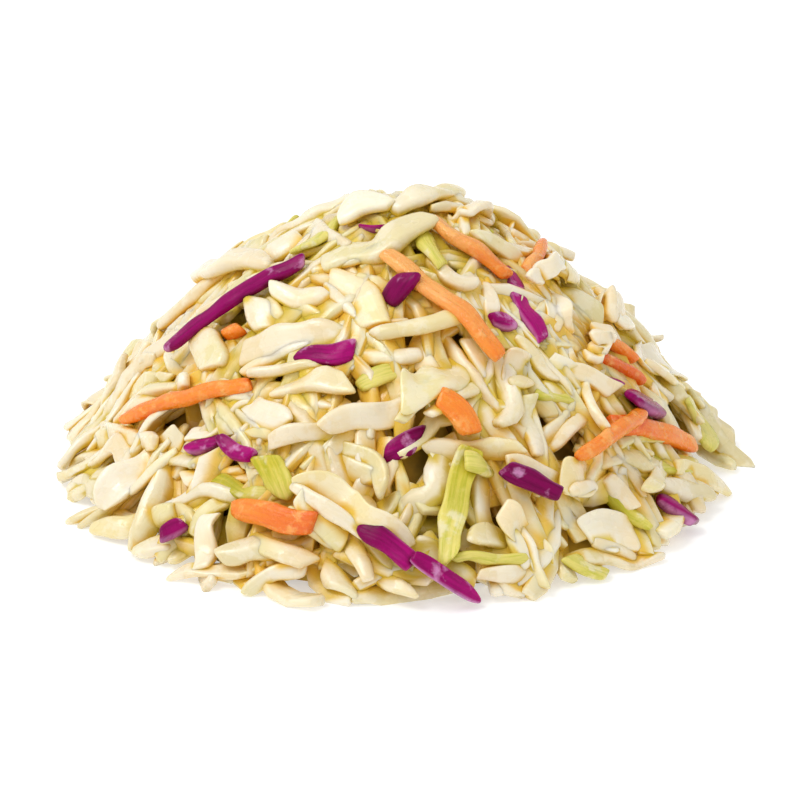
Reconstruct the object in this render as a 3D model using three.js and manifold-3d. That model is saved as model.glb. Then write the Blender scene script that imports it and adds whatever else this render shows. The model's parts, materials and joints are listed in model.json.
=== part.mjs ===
// A heap of dressed coleslaw, free-standing on a table: shredded white cabbage with green
// leaf, red cabbage and carrot. Units are millimetres, +Z is up, and the origin is the
// middle of the heap's underside on the table. The front faces -Y.
//
// The heap is one solid: a lumpy core, covered by laid shreds. A shred is a box bent along
// the line on which it comes to rest over the shreds below it. Loose fill is laid all round
// by a seeded rule, and the front's own pieces are laid over it from a layout.

import * as THREE from "three";
import { mergeVertices } from "three/addons/utils/BufferGeometryUtils.js";
import Module from "manifold-3d";

// The heap's outer form: a rounded cone whose foot runs out on the table.
const HEAP_HEIGHT = 53;
const HEAP_RADIUS = 62;
const SIDE_POWER = 1.8; // 1 is a straight cone, 2 a dome
const FOOT_SOFTNESS = 3;
const COVER = 3; // depth of the laid shreds over the core
const COVER_FULL_AT = 12; // height above the table at which the cover is at full depth

// The seat that the front is laid out from, in millimetres and radians.
const VIEW_DISTANCE = 800;
const VIEW_ELEVATION = THREE.MathUtils.degToRad(23.9);
const SIGHT_STEP = 0.25;

const SHRED_SEED = 95;
const CORE_SEED = 7;

// How shreds lie.
const STEP_LENGTH = 8; // one straight stretch of a shred, of which each has two or more
const REACH = 0.75; // share of two half widths within which one shred carries another
const SETTLING_ROUNDS = 12;
const CROWDED = 4; // height over the core from which shreds press into each other
const PRESSED = 0.4;
const BITE = 0.35; // how far a shred sinks into what carries it
const EDGE_FALL = 0.5; // share of its half thickness that a shred has lost at its edges

// Each kind's thickness, and how far its middle sags and its ends droop over one step.
const KINDS = {
  white: { thickness: 2.0, sag: 0.25 },
  green: { thickness: 1.8, sag: 0.35 },
  red: { thickness: 2.2, sag: 0.1 },
  carrot: { thickness: 3.2, sag: 0.05 },
};

// Loose fill.
const FILL_COUNT = 56;
const FILL_SPREAD = 0.97; // share of the heap's radius that the fill's middles keep to
const FILL_TRIES = 12;
const FILL_SPACING = 8; // how near other shreds count as crowding a place
const FILL_MIX = [
  { kind: "carrot", upTo: 0.08 },
  { kind: "red", upTo: 0.2 },
  { kind: "green", upTo: 0.34 },
  { kind: "white", upTo: 1 },
];
const FILL_LENGTH = [15, 30];
const FILL_WIDTH = [3.4, 6.2];
const FILL_ENDS = [0.3, 1]; // the width of an end as a share of the middle's
const FILL_BOW = 3;
const FOOT_POKE = 2; // how far a shred may reach past the heap's radius
const FILL_SWAY = 1.1; // radians either side of straight down the slope
const FILL_ROLL = 0.45;
const FRONT_ROLL = 0.25;

// The core.
const CORE_SIDES = 24;
const CORE_RINGS = 8;
const CORE_RIM = 1; // least height of its edge over the table
const CORE_BUMPS = [-0.4, 1]; // how far its surface stands in or out of its even form

// The front's own pieces, the lowest first. Each row holds the kind; the start and the end,
// across and up from the heap's origin as seen from the seat; the width, and the width of
// each end as a share of it; and how far the middle bows to the right of the way along it.
const FRONT = [
  // up the left side
  ["white", [-61, 1.5], [-49.5, 3], 4.5, [0.6, 0.8], -0.5],
  ["white", [-58, 5], [-51.5, 8], 3.5, [0.7, 0.9], 0],
  ["white", [-54, 13.5], [-43.5, 17.5], 3.5, [0.4, 0.9], 0],
  ["white", [-49, 13.5], [-32, 17], 3.5, [0.5, 0.7], -0.5],
  ["white", [-50.5, 21], [-42.5, 26], 2.5, [0.9, 0.8], 0],
  ["white", [-42, 23.5], [-38, 29.5], 3.5, [0.8, 0.8], -0.5],
  ["white", [-36.5, 33], [-24.5, 39], 4.5, [0.6, 0.8], -1],
  ["red", [-42, 20.5], [-17.5, 38], 3.5, [0.6, 0.8], -0.5],
  ["carrot", [-33.5, 24.5], [-30, 26.5], 3.5, [0.8, 0.9], 0],
  ["white", [-37, 24.5], [-35, 18], 6.5, [0.6, 0.8], 0],
  ["white", [-26.5, 31], [-25, 26], 6, [0.8, 0.7], 0],
  ["carrot", [-50.5, 8], [-28, 15.5], 3.5, [0.5, 0.9], -1],
  // over the crown
  ["green", [-18, 40], [-15, 46], 7.5, [0.8, 0.9], 0],
  ["white", [-11.5, 45], [-1.5, 47.5], 4.5, [0.4, 0.5], -1],
  ["white", [-1, 47], [10, 50], 3.5, [0.5, 0.8], 0],
  ["white", [9.5, 47], [21.5, 45.5], 3, [0.6, 0.8], -0.5],
  ["white", [14, 41], [23.5, 39.5], 3.5, [0.7, 0.3], -1],
  ["red", [-8, 45.5], [-2.5, 45], 1.5, [0.4, 0.8], 0.5],
  ["carrot", [24, 36.5], [26, 41], 3, [0.9, 0.7], 0.5],
  // down the right side
  ["white", [27.5, 36.5], [35, 34.5], 4.5, [0.6, 0.9], -0.5],
  ["white", [28.5, 33], [37, 27], 4.5, [0.7, 0.9], -0.5],
  ["white", [36.5, 30], [43.5, 26], 5.5, [0.6, 0.6], -0.5],
  ["white", [44, 22], [51, 17], 6, [0.6, 0.9], 0],
  ["green", [53, 12.5], [58, 4], 6.5, [0.7, 0.4], -1],
  ["white", [52, -0.5], [61, -3.5], 4, [0.8, 0.2], 0],
  ["white", [48.5, -2], [58.5, -6], 4.5, [0.5, 0.3], -0.5],
  ["carrot", [38, 24], [44.5, 20], 2.5, [0.5, 0.9], -0.5],
  ["carrot", [37.5, 20.5], [46, 16], 2.5, [0.9, 0.5], -0.5],
  ["red", [36, 17.5], [43, 15.5], 2, [0.7, 0.4], 0],
  ["red", [42, 11.5], [49.5, 11.5], 5.5, [0.8, 0.6], -0.5],
  ["carrot", [39.5, 8.5], [55, 4.5], 4.5, [0.9, 0.7], -0.5],
  ["carrot", [31.5, 0.5], [44.5, 9.5], 3.5, [0.6, 0.9], 0],
  // the left of the front
  ["red", [-40.5, 3], [-34, 5], 4, [0.2, 0.7], -0.5],
  ["red", [-33.5, 5.5], [-27.5, 1], 3.5, [0.5, 0.7], 0.5],
  ["white", [-31.5, 11], [-20.5, 7], 7.5, [0.8, 0.5], -0.5],
  ["white", [-61, -3.5], [-50.5, -2], 4.5, [0.2, 0.8], 0.5],
  ["white", [-54, -8.5], [-41.5, 7], 7.5, [0.2, 0.4], -0.5],
  ["white", [-56.5, -12], [-42, -7.5], 4.5, [0.6, 0.8], 0.5],
  ["green", [-35.5, -2], [-22, -6], 3.5, [0.8, 0.3], -0.5],
  ["green", [-25, 2], [-21.5, -6], 6, [0.9, 0.2], 0],
  ["white", [-49, -15.5], [-42.5, -14], 4.5, [0.2, 0.8], 0],
  ["red", [-43, -13.5], [-40, -11], 4, [0.7, 0.7], 0],
  ["white", [-43.5, -21], [-24, -16.5], 3, [0.4, 0.8], 0.5],
  ["white", [-35, -8.5], [-37, -19.5], 4, [0.8, 0.9], 0],
  ["carrot", [-31.5, -7.5], [-15, -11], 5.5, [0.6, 0.9], 0.5],
  ["white", [-29, -23], [-17.5, -18], 3.5, [0.5, 0.7], -0.5],
  ["white", [-28, -13], [-16.5, -18.5], 4, [0.8, 0.9], -0.5],
  // the middle
  ["red", [-20.5, 20.5], [-8.5, 22], 4.5, [0.3, 0.9], -0.5],
  ["white", [-30, 21], [-10, 26], 6, [0.9, 0.5], -0.5],
  ["green", [-8.5, 15.5], [0.5, 18], 4.5, [0.7, 0.9], 0],
  ["white", [-24, 14], [-9, 16], 5, [0.6, 0.9], -1],
  ["red", [-3, 2.5], [4, 5], 5.5, [0.4, 0.8], 0],
  ["white", [-18, -5.5], [-10, -13.5], 6, [0.6, 0.9], 0.5],
  ["red", [-7.5, -11.5], [2, -19.5], 4.5, [0.2, 1], -0.5],
  ["white", [-18.5, -3], [1, -15.5], 7, [0.2, 0.6], -0.5],
  ["white", [-13.5, -17.5], [-9.5, -24.5], 5, [0.7, 0.3], 0],
  ["white", [-4.5, -19.5], [2.5, -25], 3, [0.6, 0.4], 0],
  ["red", [2, -18], [14.5, -24.5], 3.5, [0.9, 0.2], 0],
  ["white", [0, -4], [6.5, -8.5], 4.5, [0.8, 0.8], 0],
  ["white", [-11.5, 5.5], [-2, -4.5], 3.5, [0.5, 0.9], -1.5],
  ["white", [-24, 3.5], [-10, 7.5], 3.5, [0.8, 0.8], -0.5],
  ["white", [-14.5, 7], [3.5, 11.5], 5, [0.6, 0.9], -0.5],
  ["carrot", [6.5, 11.5], [13, 5], 5.5, [0.8, 0.8], -1],
  ["white", [0, 11], [12, 19.5], 8.5, [0.8, 0.7], 0],
  ["white", [12.5, 14], [21, 4.5], 4, [0.9, 0.8], -0.5],
  ["green", [12.5, 3], [8.5, -18.5], 5, [1.2, 0.7], 0.5],
  ["green", [11.5, -0.5], [17, 0.5], 5, [0.8, 0.6], 0],
  // above the middle
  ["red", [-2, 30.5], [1.5, 34.5], 5.5, [0.7, 0.8], 0],
  ["white", [-24, 32.5], [-14, 33], 4, [0.7, 0.8], 1.5],
  ["white", [-12.5, 36.5], [-4.5, 26], 6.5, [0.7, 0.7], -0.5],
  ["white", [-15, 38], [5.5, 45], 6, [0.7, 0.7], 0.5],
  ["white", [11.5, 35.5], [15.5, 27], 7.5, [0.8, 0.6], -0.5],
  ["white", [4.5, 38], [14.5, 34.5], 3.5, [0.5, 0.6], 1.5],
  ["red", [17, 27], [21.5, 26.5], 4, [0.6, 0.7], 0],
  ["carrot", [-2.5, 38.5], [18, 19], 4.5, [0.8, 0.8], -1],
  ["white", [-5, 23.5], [12, 27.5], 3, [0.7, 0.9], 0],
  ["carrot", [5.5, 45], [20, 35], 3.5, [0.7, 0.9], 0],
  ["red", [20.5, 38], [27, 23.5], 3, [1.1, 0.8], 0.5],
  // the right of the front
  ["white", [12.5, -11.5], [21, -14], 4.5, [0.7, 0.7], -0.5],
  ["white", [18.5, -8], [28.5, -20.5], 6.5, [0.6, 0.3], -0.5],
  ["red", [18.5, -1], [28.5, -6], 4, [0.8, 0.9], 0],
  ["white", [19, 0.5], [29.5, -3.5], 4.5, [0.5, 0.9], 0],
  ["white", [19.5, 19], [25, 18], 7.5, [0.8, 0.6], 0],
  ["green", [25.5, 14], [34.5, 12.5], 3.5, [0.7, 0.8], -0.5],
  ["white", [23.5, 13.5], [25.5, 2], 4.5, [0.9, 0.9], -0.5],
  ["white", [21.5, 23], [40, 13.5], 4, [0.3, 1], -0.5],
  ["white", [28, 31.5], [32, 24], 5.5, [0.8, 0.9], -0.5],
  ["white", [29.5, -3], [37, -2], 7.5, [0.8, 0.4], 0],
  ["white", [39, -1.5], [44, -7.5], 4, [0.8, 0.9], 0],
  ["red", [48.5, -6], [55, -10], 4.5, [0.7, 0.9], -0.5],
  ["white", [35, -12.5], [44.5, -12], 8.5, [0.8, 0.6], -0.5],
  ["green", [31.5, -16.5], [38.5, -19.5], 4.5, [0.8, 0.6], 0.5],
];

const SEAT = new THREE.Vector3(0, -Math.cos(VIEW_ELEVATION), Math.sin(VIEW_ELEVATION));
const SEEN_UP = new THREE.Vector3(0, Math.sin(VIEW_ELEVATION), Math.cos(VIEW_ELEVATION));

function between([low, high], share) {
  return low + (high - low) * share;
}

// How far a line bowed by this much stands aside at a share t of its length.
function bowedAside(bow, t) {
  return bow * 4 * t * (1 - t);
}

// The same stream of numbers from 0 to 1 on every run.
function randomStream(seed) {
  let state = seed;
  return () => {
    state = (Math.imul(state, 1664525) + 1013904223) >>> 0;
    return state / 2 ** 32;
  };
}

// A draw between -1 and 1.
function eitherWay(random) {
  return 2 * random() - 1;
}

// Height of the heap's outer form over a point of the table.
function outerHeight(x, y) {
  const rise = HEAP_HEIGHT * (1 - (Math.hypot(x, y) / HEAP_RADIUS) ** SIDE_POWER);
  return (rise + Math.hypot(rise, FOOT_SOFTNESS)) / 2;
}

// Where a piece at this spot starts from, on the core, and the way out from there.
function spotUnder(x, y) {
  const pull = Math.min(1, (HEAP_RADIUS + FOOT_POKE) / Math.hypot(x, y));
  x *= pull;
  y *= pull;
  const delta = 0.05;
  const height = outerHeight(x, y);
  const out = new THREE.Vector3(
    (outerHeight(x - delta, y) - outerHeight(x + delta, y)) / (2 * delta),
    (outerHeight(x, y - delta) - outerHeight(x, y + delta)) / (2 * delta),
    1,
  ).normalize();
  const covered = THREE.MathUtils.smoothstep(height, 0, COVER_FULL_AT);
  const depth = THREE.MathUtils.lerp(FOOT_SOFTNESS / 2, COVER, covered);
  const foot = new THREE.Vector3(x, y, height).addScaledVector(out, -depth);
  foot.z = Math.max(foot.z, 0);
  return { foot, out };
}

// The spot that the seat sees across and up from the origin, or the nearest to that line.
function spotSeen([across, up]) {
  const eye = SEAT.clone().multiplyScalar(VIEW_DISTANCE);
  const way = SEEN_UP.clone().multiplyScalar(up).sub(eye);
  way.x += across;
  way.normalize();
  let nearest = { clear: Infinity };
  for (let ahead = -2 * HEAP_RADIUS; ahead < 2 * HEAP_RADIUS && nearest.clear > 0; ahead += SIGHT_STEP) {
    const { x, y, z } = eye.clone().addScaledVector(way, VIEW_DISTANCE + ahead);
    const clear = z - outerHeight(x, y);
    if (clear < nearest.clear) nearest = { clear, x, y };
  }
  return spotUnder(nearest.x, nearest.y);
}

// The heap as laid so far: what each piece of a shred takes up.
const laid = [];

// How high over a spot's foot the shreds there already reach.
function reachedAt({ foot, out }, halfWidth) {
  let top = 0;
  for (const other of laid) {
    const apart = other.at.clone().sub(foot);
    const height = apart.dot(out);
    const aside = Math.sqrt(Math.max(0, apart.lengthSq() - height * height));
    const reach = REACH * (halfWidth + other.halfWidth);
    if (aside < reach) {
      top = Math.max(top, height + other.halfThickness * (1 - EDGE_FALL * (aside / reach) ** 2));
    }
  }
  return top;
}

// Width at a share t of the length: full in the middle, narrowing to each end's share.
function widthAt(shred, t) {
  const end = t < 0.5 ? shred.startShare : shred.endShare;
  return shred.width * (1 + (end - 1) * (2 * t - 1) ** 2);
}

// Lets a shred come to rest along its spots, and returns the line that it takes.
function lay(shred) {
  const { thickness, sag } = KINDS[shred.kind];
  const last = shred.spots.length - 1;
  const carried = shred.spots.map((spot, i) => reachedAt(spot, widthAt(shred, i / last) / 2));
  const height = [...carried];
  for (let round = 0; round < SETTLING_ROUNDS; round++) {
    for (let i = 1; i < last; i++) {
      height[i] = Math.max(carried[i], (height[i - 1] + height[i + 1]) / 2 - sag);
    }
    height[0] = Math.max(carried[0], 2 * height[1] - height[2] - 2 * sag);
    height[last] = Math.max(carried[last], 2 * height[last - 1] - height[last - 2] - 2 * sag);
  }
  const middles = height.map((h) => h + thickness / 2 - BITE);
  const free = shred.spots.map(({ foot, out }, i) => foot.clone().addScaledVector(out, middles[i]));
  for (let i = 0; i <= 2 * last; i++) {
    laid.push({
      at: free[Math.floor(i / 2)].clone().lerp(free[Math.ceil(i / 2)], 0.5),
      halfWidth: widthAt(shred, i / 2 / last) / 2,
      halfThickness: thickness / 2,
    });
  }
  return shred.spots.map(({ foot, out }, i) => {
    const pressed = Math.min(middles[i], CROWDED) + PRESSED * Math.max(0, middles[i] - CROWDED);
    return { at: foot.clone().addScaledVector(out, pressed), out };
  });
}

// A box bent along the line of a laid shred, rolled and twisted about it.
function shredGeometry(shred, line) {
  const last = line.length - 1;
  const geometry = new THREE.BoxGeometry(1, 1, 1, last, 1, 1);
  geometry.deleteAttribute("normal");
  geometry.deleteAttribute("uv");
  const box = mergeVertices(geometry);
  const corners = box.getAttribute("position");
  const { thickness } = KINDS[shred.kind];
  const corner = new THREE.Vector3();
  for (let v = 0; v < corners.count; v++) {
    corner.fromBufferAttribute(corners, v);
    const t = corner.x + 0.5;
    const i = Math.round(t * last);
    const along = line[Math.min(i + 1, last)].at
      .clone()
      .sub(line[Math.max(i - 1, 0)].at)
      .normalize();
    const side = line[i].out.clone().cross(along).normalize();
    const face = along.clone().cross(side);
    const turn = shred.roll + shred.twist * (t - 0.5);
    side.applyAxisAngle(along, turn);
    face.applyAxisAngle(along, turn);
    const place = line[i].at
      .clone()
      .addScaledVector(side, corner.y * widthAt(shred, t))
      .addScaledVector(face, corner.z * thickness);
    corners.setXYZ(v, place.x, place.y, place.z);
  }
  return box;
}

// The shares of the way along a shred of this length at which it can bend, ends included.
function sharesAlong(length) {
  const steps = Math.max(2, Math.round(length / STEP_LENGTH));
  return Array.from({ length: steps + 1 }, (_, i) => i / steps);
}

// A piece of the front, from its row in the layout.
function frontShred([kind, start, end, width, [startShare, endShare], bow], random) {
  const from = new THREE.Vector2(...start);
  const way = new THREE.Vector2(...end).sub(from);
  const right = new THREE.Vector2(way.y, -way.x).normalize();
  const spots = sharesAlong(way.length()).map((t) => {
    const seen = from.clone().addScaledVector(way, t).addScaledVector(right, bowedAside(bow, t));
    return spotSeen([seen.x, seen.y]);
  });
  const roll = FRONT_ROLL * eitherWay(random);
  const twist = FRONT_ROLL * eitherWay(random);
  return { kind, spots, width, startShare, endShare, roll, twist };
}

// The kind whose running share of the mix takes in the draw.
function pick(mix, draw) {
  return mix.find(({ upTo }) => draw < upTo).kind;
}

// A loose shred: the least crowded of a few random places, about straight down the slope.
function fillShred(crowd, random) {
  let best;
  for (let i = 0; i < FILL_TRIES; i++) {
    const around = 2 * Math.PI * random();
    const radius = HEAP_RADIUS * FILL_SPREAD * Math.sqrt(random());
    const x = radius * Math.cos(around);
    const y = radius * Math.sin(around);
    const spot = spotUnder(x, y);
    const near = crowd.filter((foot) => foot.distanceTo(spot.foot) < FILL_SPACING).length;
    if (!best || near < best.near) best = { x, y, around, spot, near };
  }
  const isFacing = best.spot.out.dot(SEAT) > 0;
  const kind = isFacing ? "white" : pick(FILL_MIX, random());
  const length = between(FILL_LENGTH, random());
  const width = between(FILL_WIDTH, random() ** 2);
  const heading = best.around + FILL_SWAY * eitherWay(random);
  const bow = FILL_BOW * eitherWay(random);
  const startShare = between(FILL_ENDS, random());
  const endShare = between(FILL_ENDS, random());
  const roll = FILL_ROLL * eitherWay(random);
  const twist = FILL_ROLL * eitherWay(random);
  // Lengths shrink in plan with the slope that the shred runs down, and no shred passes the foot.
  const way = new THREE.Vector2(Math.cos(heading), Math.sin(heading));
  const { out } = best.spot;
  const planLength = length / Math.hypot(1, (out.x * way.x + out.y * way.y) / out.z);
  const middle = new THREE.Vector2(best.x, best.y);
  const past = middle.clone().addScaledVector(way, planLength / 2).length() - HEAP_RADIUS - FOOT_POKE;
  middle.addScaledVector(way, -Math.max(0, past));
  const spots = sharesAlong(length).map((t) => {
    const ahead = (t - 0.5) * planLength;
    const aside = bowedAside(bow, t);
    return spotUnder(middle.x + way.x * ahead - way.y * aside, middle.y + way.y * ahead + way.x * aside);
  });
  return { kind, spots, width, startShare, endShare, roll, twist };
}

// The core: a lathe-turned disc, then each point of its top moved to its place under the cover.
function coreGeometry() {
  const random = randomStream(CORE_SEED);
  const profile = [new THREE.Vector2(0, 0), new THREE.Vector2(1, 0)];
  for (let ring = 0; ring <= CORE_RINGS; ring++) {
    profile.push(new THREE.Vector2(1 - ring / CORE_RINGS, 1));
  }
  const geometry = new THREE.LatheGeometry(profile, CORE_SIDES);
  geometry.deleteAttribute("normal");
  geometry.deleteAttribute("uv");
  const core = mergeVertices(geometry);
  const points = core.getAttribute("position");
  for (let v = 0; v < points.count; v++) {
    const x = points.getX(v) * HEAP_RADIUS;
    const y = -points.getZ(v) * HEAP_RADIUS;
    if (points.getY(v) === 0) {
      points.setXYZ(v, x, y, 0);
      continue;
    }
    const { foot, out } = spotUnder(x, y);
    foot.addScaledVector(out, between(CORE_BUMPS, random()));
    points.setXYZ(v, foot.x, foot.y, Math.max(foot.z, CORE_RIM));
  }
  return core;
}

const wasm = await Module();
wasm.setup();

function solid(geometry) {
  return new wasm.Manifold(
    new wasm.Mesh({
      numProp: 3,
      vertProperties: new Float32Array(geometry.getAttribute("position").array),
      triVerts: new Uint32Array(geometry.index.array),
    }),
  );
}

function heapGeometry() {
  const random = randomStream(SHRED_SEED);
  const front = FRONT.map((row) => frontShred(row, random));
  const crowd = front.flatMap(({ spots }) => spots.map(({ foot }) => foot));
  const fill = [];
  for (let i = 0; i < FILL_COUNT; i++) {
    fill.push(fillShred(crowd, random));
    crowd.push(...fill[i].spots.map(({ foot }) => foot));
  }
  const shreds = [...fill, ...front].map((shred) => shredGeometry(shred, lay(shred)));
  const bodies = wasm.Manifold.union([coreGeometry(), ...shreds].map(solid))
    .trimByPlane([0, 0, 1], 0)
    .decompose();
  // The largest body alone: no loose scrap, and no hollow that the joining has sealed.
  const heap = bodies.reduce((a, b) => (a.volume() > b.volume() ? a : b)).getMesh();
  const geometry = new THREE.BufferGeometry();
  geometry.setAttribute("position", new THREE.BufferAttribute(heap.vertProperties, 3));
  geometry.setIndex(new THREE.BufferAttribute(heap.triVerts, 1));
  return geometry;
}

const dressedCabbage = new THREE.MeshStandardMaterial({
  color: 0xf0e8c4,
  roughness: 0.45,
  metalness: 0,
});
const coleslaw = new THREE.Mesh(heapGeometry(), dressedCabbage);
coleslaw.name = "coleslaw";

const part = new THREE.Group();
part.add(coleslaw);

export default part;
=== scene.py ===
# A free-standing heap of dressed coleslaw: shredded white cabbage with green leaf, red
# cabbage and carrot, on a table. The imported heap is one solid, and here it is laid again
# shred by shred: the same large shreds in the same places, with finer ones packed under
# and between them. Layout numbers are in millimetres, and meshes are in metres.
#
# A place is a point of the heap's plan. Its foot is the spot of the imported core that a
# piece there starts from, and its out is the way out of the heap, which faces the seat of
# whoever looks at the front by 1 where it points straight there, and by -1 where it points
# straight away. The line of a shred is the middle line that it has once it is laid.

import json
import math
import random
from collections import namedtuple
from functools import lru_cache

import bmesh
import bpy
import numpy as np
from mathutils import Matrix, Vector, noise
from mathutils.bvhtree import BVHTree

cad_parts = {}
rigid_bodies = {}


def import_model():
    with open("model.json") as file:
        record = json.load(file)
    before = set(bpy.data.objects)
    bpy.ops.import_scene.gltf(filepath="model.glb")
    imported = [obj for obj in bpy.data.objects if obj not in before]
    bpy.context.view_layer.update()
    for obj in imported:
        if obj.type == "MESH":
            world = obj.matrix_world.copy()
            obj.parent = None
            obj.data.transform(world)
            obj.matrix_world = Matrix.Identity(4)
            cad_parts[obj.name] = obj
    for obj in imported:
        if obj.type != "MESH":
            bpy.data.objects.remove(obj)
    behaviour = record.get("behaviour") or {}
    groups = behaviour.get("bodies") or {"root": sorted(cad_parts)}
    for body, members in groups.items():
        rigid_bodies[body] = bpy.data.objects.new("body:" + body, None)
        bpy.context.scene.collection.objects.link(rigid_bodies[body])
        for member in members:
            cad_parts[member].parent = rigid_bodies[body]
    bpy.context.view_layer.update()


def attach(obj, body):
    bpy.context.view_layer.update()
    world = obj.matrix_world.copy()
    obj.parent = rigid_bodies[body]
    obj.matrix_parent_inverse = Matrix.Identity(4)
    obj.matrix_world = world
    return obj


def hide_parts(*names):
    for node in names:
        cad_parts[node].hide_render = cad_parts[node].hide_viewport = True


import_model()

bl_info = {
    "name": "Coleslaw Heap",
    "version": (1, 0, 0),
    "blender": (4, 5, 0),
    "location": "View3D > Sidebar > Coleslaw",
    "description": "Lays a heap of dressed coleslaw, shred by shred",
    "category": "Add Mesh",
}

HEAP_NODE = "coleslaw"
MM = 0.001

# ---------------------------------------------------------------------------------------
# How the heap is laid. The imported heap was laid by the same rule, from the same front.
# ---------------------------------------------------------------------------------------

# The seat that the front is laid out from, and how finely its lines of sight are followed.
VIEW_DISTANCE = 800
VIEW_ELEVATION = math.radians(23.9)
SIGHT_STEP = 0.25
SEAT = np.array([0, -math.cos(VIEW_ELEVATION), math.sin(VIEW_ELEVATION)])
SEEN_UP = np.array([0, math.sin(VIEW_ELEVATION), math.cos(VIEW_ELEVATION)])

# How shreds come to rest on each other.
STEP_LENGTH = 8  # about how far apart the places are at which a shred bends
THICKNESS = {"white": 2.0, "green": 1.8, "red": 2.2, "carrot": 3.2}
SAG = {"white": 0.25, "green": 0.35, "red": 0.1, "carrot": 0.05}  # between such places
SETTLING_ROUNDS = 12
REACH = 0.75  # how near one shred carries another, as a share of their half widths
EDGE_FALL = 0.5  # how much lower it does so there, as a share of its half thickness
CROWDED = 4  # over this height shreds press into each other,
PRESSED = 0.4  # and this share of it is left
BITE = 0.35  # how deep a shred sinks into what carries it
FOOT_POKE = 2  # how far past the heap's foot a shred may reach
SLOPE_STEP = 0.05  # how far to each side the slope at a place is taken from

# The batches of loose shreds: how long and wide they are, the power that makes more of them
# narrow, how far their middle may bow aside, and how narrow their ends are.
Batch = namedtuple("Batch", "length width narrowness bow ends")
BATCHES = {
    "fill": Batch((15, 30), (3.4, 6.2), 2, 3, (0.3, 1)),
    "back": Batch((15, 30), (3.4, 6.2), 2, 3, (0.3, 1)),
    "gap": Batch((14, 28), (3, 5.2), 1, 2, (0.4, 1)),
    "rim": Batch((12, 21), (3.5, 6), 1, 1, (0.4, 1)),
    "bed": Batch((14, 26), (3.2, 5.4), 1, 3, (0.3, 1)),
}
SPREAD = 0.97  # how far out they are laid, as a share of the heap's radius
ROLL = 0.45  # how far they roll about their length, and twist along it
MIX = ((0.08, "carrot"), (0.2, "red"), (0.34, "green"), (1, "white"))

# The fill: large shreds, each in the least crowded of a few places.
FILL_SEED = 95
FILL_COUNT = 56
FILL_TRIES = 12
FILL_SPACING = 8  # how near another shred crowds a place
FILL_SWAY = 1.1  # how far a shred may turn from straight down the slope, in radians
BACK_SWAY = 1.6  # the same on the back,
BACK_FROM = -0.45  # where the heap faces the seat by less than this

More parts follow.
